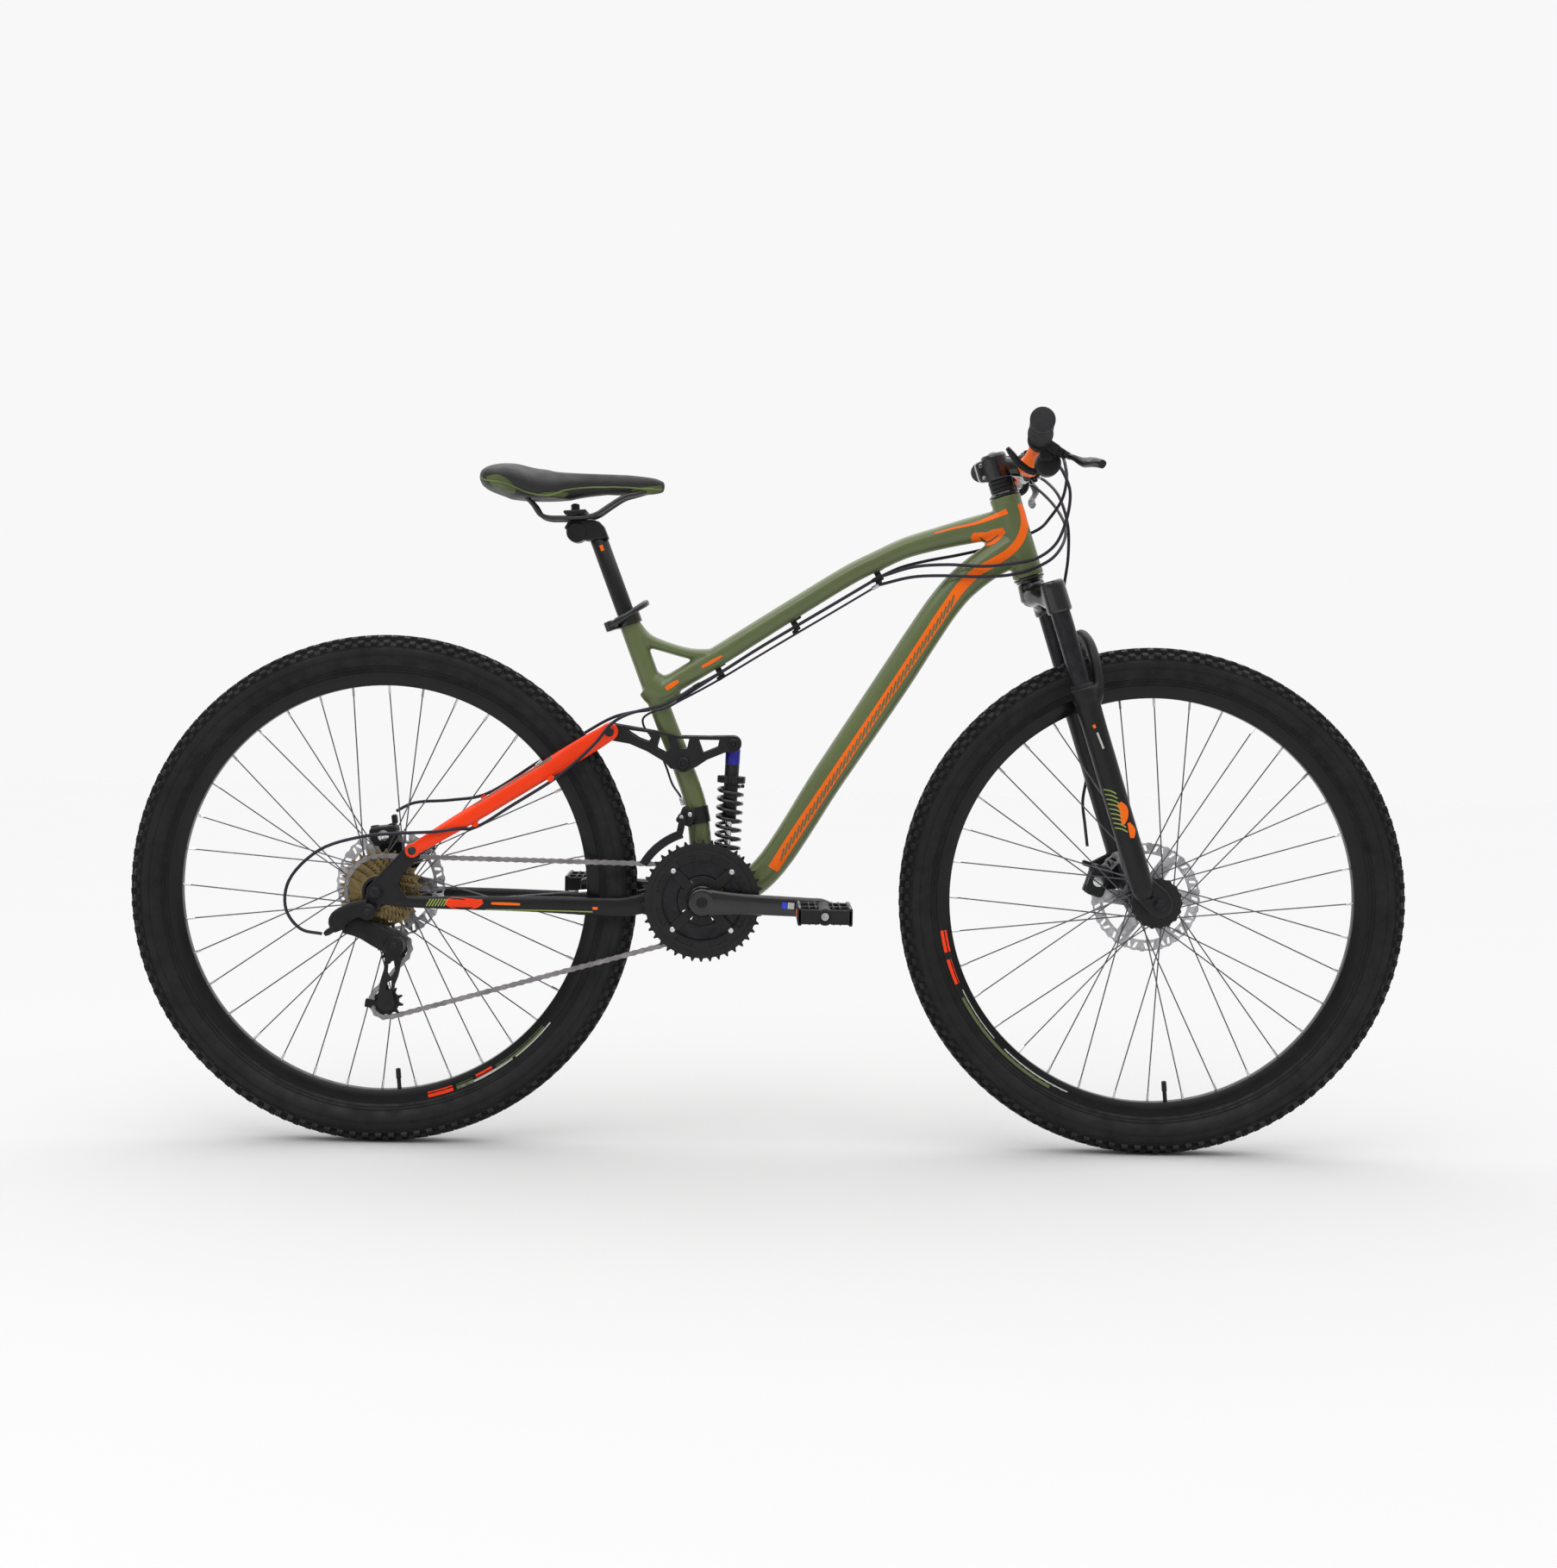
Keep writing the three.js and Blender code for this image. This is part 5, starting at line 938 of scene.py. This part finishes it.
for side, label in ((-1, "right"), (1, "left")):
    def stay_decal(name, material, *strips):
        sticker(f"{name}_{label}", material, swingarm, "swingarm", strips, side, across=4, per=6)
    stay_decal("stay_badge", ORANGE, [(-456, 352, 3), (-448, 351, 7), (-430, 349, 8.4), (-412, 350, 6), (-404, 353, 3)])
    stay_decal("stay_bar", DECAL_ORANGE, [(-392, 350, 1.6), (-372, 349.4, 2), (-352, 348.6, 1.6)], [(-250, 343, 2), (-243, 343, 2)])
    stay_decal("stay_hatch", LIME, [(-400, 341, 0.8), (-330, 340, 0.8), (-250, 338, 0.8)],
               *[[(-482 + 4 * k, 346, 0.8), (-479 + 4 * k, 351, 0.8), (-476 + 4 * k, 356, 0.8)] for k in range(7)])


def on_stay(t, y, width, depth, lift=0.0):
    x = STAY_PIVOT[0] + (ROCKER_REAR[0] - STAY_PIVOT[0]) * t
    return (x, y, STAY_PIVOT[1] + (ROCKER_REAR[1] - STAY_PIVOT[1]) * t + lift, width, depth)


UPPER_STAY = [on_stay(-0.02, -78.6, 3.6, 8), on_stay(0.1, -79.8, 5, 10), on_stay(0.25, -70.5, 6.6, 11.6),
              on_stay(0.45, -57, 6.6, 12.2), on_stay(0.65, -44, 6.2, 12.6), on_stay(0.72, -38.6, 5.4, 14),
              on_stay(0.8, -33.6, 4.2, 14.4), on_stay(0.9, -30.6, 3.8, 14), on_stay(1.0, -30, 3.8, 12.4)]
seatstay = make("seatstay_arms", ORANGE, "seatstay", [
    *both(loft(UPPER_STAY, 28, 6, power=2.6), axle(ROCKER_REAR, -33.8, -26.2, 12.8, 1.6), axle(STAY_PIVOT, -82.3, -74.6, 10.3, 1.4)),
    axle((-250, 588), -28, 28, 5)], ["seatstay"], 1.5, 3)
make("seatstay_bolts", GLOSS_BLACK, "seatstay", [
    *both(axle(ROCKER_REAR, -34, -19.4, 4.8), axle(ROCKER_REAR, -36, -33.6, 6.6, 0.9), hexagon(ROCKER_REAR, -36.8, -35.6, 3.2),
          axle(STAY_PIVOT, -84, -82, 6, 0.8), hexagon(STAY_PIVOT, -85, -83.6, 3))])
for side, label in ((-1, "right"), (1, "left")):
    shade = [(-419, 490, 2.2), (-380, 515, 2.4), (-330, 546, 2.4), (-312, 557, 2)]
    sticker(f"seatstay_shade_{label}", OLIVE_DARK, seatstay, "seatstay", [shade], side, across=3)
make("seatstay_cable_stops", ORANGE, "seatstay", [
    block((-312, -50, 527), (9, 8, 8), -32, 2, 1), block((-416, -66, 462), (9, 8, 8), -32, 2, 1),
    block((-420, 63, 492), (9, 8, 8), -32, 2, 1)])

ROCKER = [*arc(ROCKER_REAR, 12.3, 90, 250, 12), (-202, 577.4), (-177, 567), (-152, 552.5), (-143, 543),
          *arc(ROCKER_PIVOT, 12.6, 225, 315, 6), (-106, 546), (-91, 556.4), (-66, 567), *arc(SHOCK_TOP, 11.6, -80, 90, 12),
          (-90, 590), (-128, 590), (-170, 597)]
ROCKER_WINDOWS = [[(-209, 598), (-176, 594), (-170, 588), (-176, 581), (-190, 586)],
                  [(-159, 591), (-150, 590), (-143, 572), (-152, 566), (-164, 572)],
                  [(-134, 586), (-117, 586), (-120, 572), (-130, 572)], [(-104, 585), (-74, 585), (-76, 575), (-97, 566)]]
for side, label in ((-1, "right"), (1, "left")):
    shape = plate(ROCKER, -25.2, -19.6, [*ROCKER_WINDOWS, arc(ROCKER_REAR, 7.8, 0, 340, 17), arc(ROCKER_PIVOT, 6.4, 0, 340, 17)], 1)
    make(f"rocker_plate_{label}", CAST_BLACK, "rocker", [shape if side < 0 else flipped(shape)], [f"rocker_{label}"])

SHOCK_LENGTH = math.dist(SHOCK_TOP, SHOCK_BOTTOM)
SHOCK = (Matrix.Translation((SHOCK_TOP[0], 0, SHOCK_TOP[1]))
         @ Matrix.Rotation(math.atan2(SHOCK_TOP[0] - SHOCK_BOTTOM[0], SHOCK_TOP[1] - SHOCK_BOTTOM[1]), 4, "Y"))


def shocked(*shapes):
    return [moved(s, SHOCK) for s in shapes]


make("shock_top", VIOLET, "shock_body", shocked(
    axle((0, 0), -11.8, 11.8, 10.8, 1), turn((0, 0, -8), (0, 0, -30), [(0, 10.6), (2, 10.6), (20, 10.6), (22, 10.2)], 32)),
    ["shock_body"])
make("shock_can", CAST_BLACK, "shock_body", shocked(
    turn((0, 0, -29), (0, 0, -112), [(0, 9.6), (1, 10.3), (82, 10.3), (83, 9.6), (83, 5.3), (20, 5.3)], 32)))
notched = [arc((0, 0), 20.3 if i % 2 else 18.4, i * 15, i * 15 + 12, 2) for i in range(24)]
collar = plate([p for part in notched for p in part], -5, 5, [arc((0, 0), 10.6, 0, 340, 17)], 1)
make("shock_collar", CAST_BLACK, "shock_body", shocked(
    moved(collar, Matrix.Translation((0, 0, -51.8)) @ Matrix.Rotation(math.pi / 2, 4, "X"))))
make("shock_bolts", DARK_STEEL, "shock_body", shocked(
    axle((0, 0), -29.9, 29.9, 4.9), *both(axle((0, 0), -29.9, -26, 7.8, 1), hexagon((0, 0), -31, -29.4, 3.6))))
make("shock_rod", CHROME, "shock_shaft", shocked(
    rod((0, 0, -100), (0, 0, -SHOCK_LENGTH + 5), 4.9, 0.4, 24)), ["shock_shaft"])
make("shock_foot", CAST_BLACK, "shock_shaft", shocked(
    turn((0, 0, -160.2), (0, 0, -166), [(0, 19.6), (1, 20.3), (4, 20.3), (5.8, 16)], 36),
    ring((0, -SHOCK_LENGTH), [(6.8, -12.4), (10.4, -12.4), (10.9, -11.8), (10.9, 11.8), (10.4, 12.4), (6.8, 12.4)], 32)))
coil_turns, coil_top, coil_bottom = 7.5, -57.6, -159.6
coil = []
for i in range(int(coil_turns * 28) + 1):
    t = i / int(coil_turns * 28)
    a = 2 * math.pi * coil_turns * t
    coil.append((17 * math.cos(a), 17 * math.sin(a), coil_top - 2.8 + (coil_bottom - coil_top + 5.6) * t))
spring = make("shock_coil", GLOSS_BLACK, None, shocked(pipe(coil, 2.8, 14, 1, UP)), ["shock_spring"])
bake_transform(spring)


# ---- drivetrain ---------------------------------------------------------------------------

def pitch_radius(teeth):
    return PITCH / (2 * math.sin(math.pi / teeth))


def toothed(point, teeth, phase=0.0, tip=2.4, root=3.6):
    outline = []
    for i in range(teeth):
        for share, reach in ((-0.3, -root), (-0.22, -root * 0.75), (-0.1, tip * 0.6), (-0.05, tip), (0.05, tip), (0.1, tip * 0.6),
                             (0.22, -root * 0.75), (0.3, -root)):
            a = 2 * math.pi * (i + 0.5 + share + phase) / teeth
            r = pitch_radius(teeth) + reach
            outline.append((point[0] + r * math.cos(a), point[1] + r * math.sin(a)))
    return outline


def chain_line(point_list):
    """The chain's closed path: rows are (centre, radius), with a negative radius where it bends back."""
    def normal(a, b):
        dx, dz = b[0][0] - a[0][0], b[0][1] - a[0][1]
        return math.atan2(dz, dx) + math.acos((b[1] - a[1]) / math.hypot(dx, dz))
    line = []
    for i, (centre, radius) in enumerate(point_list):
        row = point_list[i]
        start = normal(point_list[i - 1], row)
        sweep = normal(row, point_list[(i + 1) % len(point_list)]) - start
        full = math.copysign(2 * math.pi, radius)
        sweep = ((sweep / full) % 1) * full
        steps = 60
        for k in range(steps + 1):
            a = start + sweep * k / steps
            line.append((centre[0] - radius * math.cos(a), centre[1] - radius * math.sin(a)))
    return line


def chain_shapes():
    line = chain_line([(CRANK, pitch_radius(24)), (REAR_AXLE, pitch_radius(24)), ((-531, 282), -pitch_radius(11)),
                       ((-541, 205), pitch_radius(11))])
    line.append(line[0])
    lengths = [0.0]
    for a, b in zip(line, line[1:]):
        lengths.append(lengths[-1] + math.dist(a, b))
    count = 2 * round(lengths[-1] / PITCH / 2)
    step = lengths[-1] / count
    pins, at = [], 0
    for k in range(count):
        while lengths[at + 1] < k * step:
            at += 1
        t = (k * step - lengths[at]) / max(lengths[at + 1] - lengths[at], 1e-9)
        pins.append(tuple(line[at][n] + (line[at + 1][n] - line[at][n]) * t for n in (0, 1)))
    shapes = []
    for k, pin in enumerate(pins):
        after = pins[(k + 1) % count]
        heading = math.degrees(math.atan2(after[1] - pin[1], after[0] - pin[0]))
        middle = tuple((a + b) / 2 for a, b in zip(pin, after))
        side_ways = math.radians(heading + 90)
        waist = [(middle[0] + s * 2.7 * math.cos(side_ways), middle[1] + s * 2.7 * math.sin(side_ways)) for s in (1, -1)]
        outline = [*arc(pin, 3.9, heading + 60, heading + 300, 5), waist[1],
                   *arc(after, 3.9, heading - 120, heading + 120, 5), waist[0]]
        for y in (-2.9, 2.9) if k % 2 else (-2.0, 2.0):
            shapes.append(plate(outline, CHAIN_Y + y - 0.4, CHAIN_Y + y + 0.4, (), 0.15))
        shapes.append(axle(pin, CHAIN_Y - 3.4, CHAIN_Y + 3.4, 1.7, 0.2, 8))
    return shapes


chain = make("chain_links", CHAIN_STEEL, None, chain_shapes(), ["chain"])
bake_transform(chain)

sprockets = []
for i, teeth in enumerate((28, 24, 22, 20, 18, 16, 14)):
    y = -34.6 - 4.9 * i
    holes = [arc((REAR_AXLE[0] + r * math.cos(a), REAR_AXLE[1] + r * math.sin(a)), 3.2, 0, 320, 8)
             for r in [pitch_radius(teeth) - 11] if teeth > 20 for a in [k * math.pi / 5 + i for k in range(10)]]
    sprockets.append(plate(toothed(REAR_AXLE, teeth, 0.1 * i), y - 0.9, y + 0.9, [arc(REAR_AXLE, 20, 0, 350, 35), *holes], 0.3))
make("sprockets", BRONZE, "freewheel", sprockets, ["freewheel"], crease=25)
make("freewheel_core", DARK_STEEL, "freewheel", [
    ring(REAR_AXLE, [(18, -64.8), (23.6, -64.8), (23.6, -34), (18, -34)], 40),
    ring(REAR_AXLE, [(18.2, -65.2), (22, -65.2), (22, -64.6), (18.2, -64.6)], 40)])

spider_holes = [arc(CRANK, 33, 28 + 90 * i, 62 + 90 * i, 5) + arc(CRANK, 24, 60 + 90 * i, 30 + 90 * i, 5) for i in range(4)]
slot_holes = [arc(CRANK, 66, 10 + 45 * i, 34 + 45 * i, 5) + arc(CRANK, 60, 34 + 45 * i, 10 + 45 * i, 5) for i in range(8)]
make("outer_ring", CAST_BLACK, "crankset", [
    plate(toothed(CRANK, 42, 0, 1.8, 3.4), -55.6, -53.2, [arc(CRANK, 56.6, 0, 355, 71)], 0.5)], ["chainring_outer"], crease=25)
make("outer_ring_guard", CAST_BLACK, "crankset", [plate(arc(CRANK, 72, 0, 356, 89), -57.4, -55.7, [arc(CRANK, 58, 0, 355, 71), *slot_holes], 0.4)])
make("inner_rings", DARK_STEEL, "crankset", [
    plate(toothed(CRANK, 34, 0.3, 1.8, 3.4), -48.8, -46.6, [arc(CRANK, 36, 0, 350, 35)], 0.4),
    plate(toothed(CRANK, 24, 0.2, 1.6, 3.6), CHAIN_Y - 1, CHAIN_Y + 1, [arc(CRANK, 33, 0, 350, 35)], 0.4),
    *around(CRANK, axle((CRANK[0] + 39, CRANK[1]), -46.8, CHAIN_Y, 4, 0.4, 14), 4)], ["chainring_inner_pair"], crease=25)

DROP = math.radians(2)
ALONG = Vector((math.cos(DROP), 0, -math.sin(DROP)))
CRANK_FRAME = Matrix.Translation((CRANK[0], 0, CRANK[1])) @ Matrix.Rotation(DROP, 4, "Y")
RIGHT_PEDAL = (CRANK[0] + 170 * ALONG.x, CRANK[1] + 170 * ALONG.z)
LEFT_PEDAL = (CRANK[0] - 170 * ALONG.x, CRANK[1] - 170 * ALONG.z)

arm_rows = [(0, -70, 0, 7, 19), (14, -70.4, 0, 7, 18.6), (34, -70.8, 0, 6.8, 16.6), (70, -71, 0, 6.4, 14.6),
            (120, -71, 0, 6.4, 14), (152, -71, 0, 6.6, 13.8), (170, -71, 0, 6.8, 13.6), (182.5, -71, 0, 4, 9)]
crank_arm = [moved(loft(arm_rows, 28, 6, power=3.2), CRANK_FRAME), axle(CRANK, -77.6, -64.2, 19.4, 2.4, 48)]
right_arm = make("crank_arm_r", GLOSS_BLACK, "crankset", [
    *crank_arm, axle(CRANK, -66, -49.6, 22.6, 2, 48)], ["crankset_right"], 1.4, 3)
spider = []
for i in range(4):
    a = math.pi / 4 + i * math.pi / 2
    spider.append(block((CRANK[0] + 40 * math.cos(a), -51, CRANK[1] + 40 * math.sin(a)), (46, 3.2, 14), -math.degrees(a), 6, 1))
make("crank_spider", CAST_BLACK, "crankset", [
    *spider, plate(arc(CRANK, 35, 0, 350, 35), -52.4, -49.6, [*spider_holes], 0.6),
    axle(CRANK, -66, 74.3, 8.4)])
make("ring_bolts", CHROME, "crankset", [
    axle((CRANK[0] + 58.5 * math.cos(a), CRANK[1] + 58.5 * math.sin(a)), -58.6, -52, 3.8, 0.7, 16)
    for a in (math.pi / 4 + i * math.pi / 2 for i in range(4))])
make("crank_bolt_r", DARK_STEEL, "crankset", [axle(CRANK, -78.9, -77, 8, 0.8), hexagon(CRANK, -79.6, -78.4, 4.6)])
make("crank_arm_l", GLOSS_BLACK, "crankset", [
    flipped(moved(s, Matrix.Translation((CRANK[0], 0, CRANK[1])) @ Matrix.Rotation(math.pi, 4, "Y")
                  @ Matrix.Translation((-CRANK[0], 0, -CRANK[1])))) for s in crank_arm], ["crank_arm_left"], 1.6, 3)
make("pedal_axles", STEEL, "crankset", [
    axle(RIGHT_PEDAL, -175.8, -77, 6.2, 0.8), axle(LEFT_PEDAL, 77, 175.8, 6.2, 0.8),
    hexagon(RIGHT_PEDAL, -85.6, -77.6, 8), hexagon(LEFT_PEDAL, 77.6, 85.6, 8)])
for name, material, rows in (("crank_label_a", BLUE, [(19, 356, 4.4), (26, 355.6, 4.4)]),
                             ("crank_label_b", PALE, [(27, 355.6, 4.4), (36, 355, 4.4)])):
    sticker(name, material, right_arm, "crankset", [rows], -1, across=3, per=3)


def pedal(label, point, side):
    x, z = point

    def bar(cx, cz, y0, y1, w, h, tilt=0):
        return block((x + cx, -(y0 + y1) / 2, z + cz), (w, y1 - y0, h), tilt, 2, 1.2)
    shapes = [bar(s * 34.6, 0, 88, 181.6, 5.6, 24) for s in (-1, 1)]
    shapes += [bar(s * 22, 0, y0, y0 + 6, 30, 20) for s in (-1, 1) for y0 in (87.4, 132, 175.6)]
    shapes += [ring((x, z), [(7, -181), (10, -181), (11.6, -179), (11.6, -89), (10, -87.6), (7, -87.6)], 28)]
    shapes += [bar(s * (12 + 9 * k), t * 10, 92 + 44 * n, 94.4 + 44 * n + 36, 2.4, 3.6)
               for s in (-1, 1) for t in (-1, 1) for k in (0, 1) for n in (0, 1)]
    pins = [rod((x + s * 34.6, -y, z - 12.4), (x + s * 34.6, -y, z + 12.4), 1.4, 0.3, 8)
            for s in (-1, 1) for y in (94, 108, 122, 148, 162, 175)]
    flip = (lambda s: s) if side < 0 else flipped
    make(f"pedal_body_{label}", PEDAL_PLASTIC, f"pedal_{label}", [flip(s) for s in shapes], [f"pedal_{label}"])
    make(f"pedal_pins_{label}", STEEL, f"pedal_{label}", [flip(s) for s in pins])
    reflectors = [block((x + s * 37.6, -135, z), (0.7, 30, 9), 0, 0.3, 0.1) for s in (-1, 1)]
    make(f"pedal_reflectors_{label}", DECAL_ORANGE, f"pedal_{label}", [flip(s) for s in reflectors])


pedal("right", RIGHT_PEDAL, -1)
pedal("left", LEFT_PEDAL, 1)

# rear derailleur
make("rear_mech_body", PLASTIC, "rear_derailleur", [
    axle((-562, 338), -91.6, -74.6, 11.6, 2), axle((-562, 338), -91, -68, 4.8),
    loft([(-562, -85, 344, 6, 12), (-586, -86, 338, 6, 12), (-604, -86, 324, 6, 13), (-600, -84, 312, 6, 9)], 24, 6, power=3),
    loft([(-597, -73, 319, 6.4, 13), (-572, -73, 314, 6.4, 15), (-545, -72, 300, 6.2, 16), (-527, -70, 290, 6, 15)], 24, 6, power=3),
    axle((-527, 289), -79.6, -49.4, 14.6, 2.4)], ["rear_derailleur_body"])
make("rear_mech_trim", DARK_STEEL, "rear_derailleur", [
    turn((-603, -76, 318), (-624, -76, 304), [(0, 4.4), (8, 4.4), (9, 5), (20, 4.6), (25, 3)], 18),
    axle((-562, 338), -92.4, -90, 5, 0.8), axle((-527, 289), -81, -79, 6, 1), axle((-597, 320), -89, -69, 5, 1),
    hexagon((-562, 338), -93, -92, 3)])


def cage_side(y0, y1):
    heading = math.degrees(math.atan2(282 - 205, -531 + 541))
    outline = [*arc((-531, 282), 12.6, heading - 80, heading + 95, 10), (-545, 252), (-550, 235),
               *arc((-541, 205), 12.8, heading + 85, heading + 268, 12), (-533, 222), (-526, 240), (-521, 262)]
    return plate(outline, y0, y1, [[(-540, 262), (-531, 264), (-529, 250), (-535, 240), (-541, 246)],
                                   [(-541, 233), (-534, 236), (-534, 224), (-541, 222)]], 0.4)


make("rear_mech_cage", CAST_BLACK, "derailleur_cage", [
    cage_side(-35.2, -33.7), cage_side(-45.2, -43.7), axle((-531, 282), -46, -33.4, 3, 0.4), axle((-541, 205), -46, -33.4, 3, 0.4),
    axle((-527, 289), -48.6, -44.2, 10.6, 1)], ["rear_derailleur_cage"])
for name, point in (("guide", (-531, 282)), ("tension", (-541, 205))):
    make(f"{name}_pulley_wheel", PLASTIC, f"{name}_pulley", [
        plate(toothed(point, 11, 0.2, 1.4, 4.6), CHAIN_Y - 1.6, CHAIN_Y + 1.6, [arc(point, 3.4, 0, 340, 17),
              *[arc((point[0] + 9 * math.cos(a), point[1] + 9 * math.sin(a)), 2.2, 0, 320, 8) for a in (0.4, 2.5, 4.6)]], 0.3)],
        [f"{name}_pulley"])
make("pulley_box", PLASTIC, "derailleur_cage", [block((-566, -40, 203), (11, 8, 12), 8, 2, 1), block((-556, -44.4, 204), (14, 1.4, 8), 0, 2, 0.4)])


# ---- cables -------------------------------------------------------------------------------

def cable(name, body, points, radius=2.3, node=None):
    ob = make(name, HOUSING, body, [pipe(points, radius, 12, 6)], [node] if node else ())
    ends = [turn(a, Vector(a) + (Vector(b) - Vector(a)).normalized() * 11, [(0, 2.4), (0.5, 3), (10, 3), (11, 2.4)], 14)
            for a, b in ((points[0], points[1]), (points[-1], points[-2]))]
    make(f"{name}_ferrules", CHROME if radius < 2 else PLASTIC, body, ends)
    return ob


def bent(name, points, node=None):
    """A free cable that crosses the joint between two bodies, made as a curved pipe on no body and baked where it
    stands.
    """
    ob = raw(name, [pipe(points, 2.3, 12, 6)])
    finished(ob, HOUSING, None, [node] if node else ())
    path = [Vector(p[:3]) * MM for p in curve(points, 6)]
    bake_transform(ob)
    return ob


bent("front_brake_hose", [
    (392, 152, 986), (396, 128, 984), (404, 92, 974), (418, 52, 948), (428, 30, 905), (430, 34, 860), (428, 58, 815),
    (428, 78, 775), (434, 84, 720), (446, 84, 660), (462, 84, 600), (470, 82, 540), (464, 76, 500), (466, 64, 466),
    (468, 52, 436)], "front_brake_cable")
bent("rear_brake_loop", [
    (392, -152, 986), (400, -120, 978), (408, -84, 962), (408, -44, 936), (396, -8, 912), (386, 16, 899), (366, 28, 889),
    (338, 28, 880), (306, 24, 868), (268, 12, 858), (220, 7, 848), (184, 6, 838), (152, 6, 823)],
    "rear_brake_cable")
bent("rear_shift_loop", [
    (384, -148, 978), (398, -122, 966), (412, -92, 942), (412, -60, 905), (400, -41, 872), (376, -36, 853),
    (345, -35, 845), (300, -30, 840), (250, -20, 842), (200, -12, 838), (152, -6, 823)],
    "rear_shift_cable")
bent("front_shift_loop", [
    (384, 148, 978), (402, 112, 958), (418, 68, 930), (424, 24, 900), (414, -10, 872), (394, -26, 850), (350, -29, 831),
    (300, -28, 825), (250, -24, 826), (200, -6, 824), (152, 0, 812)],
    "front_shift_cable")
cable("rear_brake_run", "frame", [(152, 6, 823), (92, 6, 786), (33, 6, 750), (-22, 6, 716), (-75, 6, 681), (-130, 14, 644)])
cable("rear_shift_run", "frame", [(152, -6, 823), (92, -6, 786), (33, -6, 750), (-22, -6, 716), (-75, -6, 681), (-112, -16, 660)])
cable("front_shift_run", "frame", [
    (152, 0, 812), (92, 0, 775), (33, 0, 739), (-22, 0, 705), (-75, 0, 672), (-108, -5, 653), (-132, -14, 640),
    (-150, -17.4, 630), (-170, -17.2, 624), (-184, -10, 614), (-183, -3, 602), (-174, -2, 590), (-162, -4, 570),
    (-150, -8, 545), (-140, -18, 520), (-128, -24, 503), (-124, -24, 491)], 1.6)
bent("rear_brake_tail", [
    (-130, 14, 644), (-166, 30, 628), (-205, 41, 621), (-232, 43, 613), (-280, 45, 585), (-340, 50, 546), (-420, 62, 496),
    (-470, 66, 487), (-524, 62, 482), (-548, 56, 470)])
bent("rear_shift_tail", [
    (-112, -16, 660), (-150, -30, 636), (-205, -40, 620), (-228, -41, 606), (-250, -45, 578), (-292, -49, 538),
    (-312, -50, 523), (-365, -54, 489), (-417, -68, 457), (-440, -83, 456), (-470, -88, 452), (-524, -92, 449),
    (-570, -94, 444), (-630, -94, 424), (-672, -92, 380), (-676, -88, 340), (-656, -82, 312), (-627, -77, 305)])


# ---- floor and light -----------------------------------------------------------------------

BACKDROP = 0.939
FRONT_LIGHT = 0.42
TOP_LIGHT = 1.5
FLOOR_TONE = 0.571

floor_mesh = bpy.data.meshes.new("floor")
floor_mesh.from_pydata([(-9, -6, 0), (9, -6, 0), (9, 9, 0), (-9, 9, 0)], [], [(0, 1, 2, 3)])
floor = bpy.data.objects.new("floor", floor_mesh)
bpy.context.scene.collection.objects.link(floor)
floor.location.z = -0.0005
pale = Shader("floor", 0xFFFFFF, 1.0, spec=0.0)
pale.colour = [FLOOR_TONE] * 3 + [1]
floor_mesh.materials.append(pale.vary(pale.noise(2), 0.998, 1.002).material)

world = bpy.data.worlds.new("studio")
bpy.context.scene.world = world
world.use_nodes = True
bpy.context.scene.view_settings.view_transform = "Standard"
sky = world.node_tree


def sky_ramp(value, edges, levels):
    node = sky.nodes.new("ShaderNodeMapRange")
    node.interpolation_type = "SMOOTHSTEP"
    for socket, number in zip(("From Min", "From Max", "To Min", "To Max"), (*edges, *levels)):
        node.inputs[socket].default_value = number
    sky.links.new(value, node.inputs["Value"])
    return node.outputs["Result"]


# a pale backdrop behind, a large soft light overhead, and a darker room in front of the bike
direction = sky.nodes.new("ShaderNodeSeparateXYZ")
sky.links.new(sky.nodes.new("ShaderNodeTexCoord").outputs["Generated"], direction.inputs["Vector"])
total = sky.nodes.new("ShaderNodeMath")
sky.links.new(sky_ramp(direction.outputs["Y"], (-0.5, 0.35), (FRONT_LIGHT, BACKDROP)), total.inputs[0])
sky.links.new(sky_ramp(direction.outputs["Z"], (0.42, 0.8), (0, TOP_LIGHT)), total.inputs[1])
sky.links.new(total.outputs["Value"], sky.nodes["Background"].inputs["Strength"])
sky.nodes["Background"].inputs["Color"].default_value = (1, 1, 1, 1)

lamp_data = bpy.data.lights.new("key", "AREA")
lamp_data.shape = "RECTANGLE"
lamp_data.size = 2.2
lamp_data.size_y = 0.8
lamp_data.energy = 12
lamp = bpy.data.objects.new("key", lamp_data)
bpy.context.scene.collection.objects.link(lamp)
lamp.location = (-1.0, -2.2, 2.8)
lamp.rotation_euler = (Vector((0, 0, 0.6)) - lamp.location).to_track_quat("-Z", "Y").to_euler()
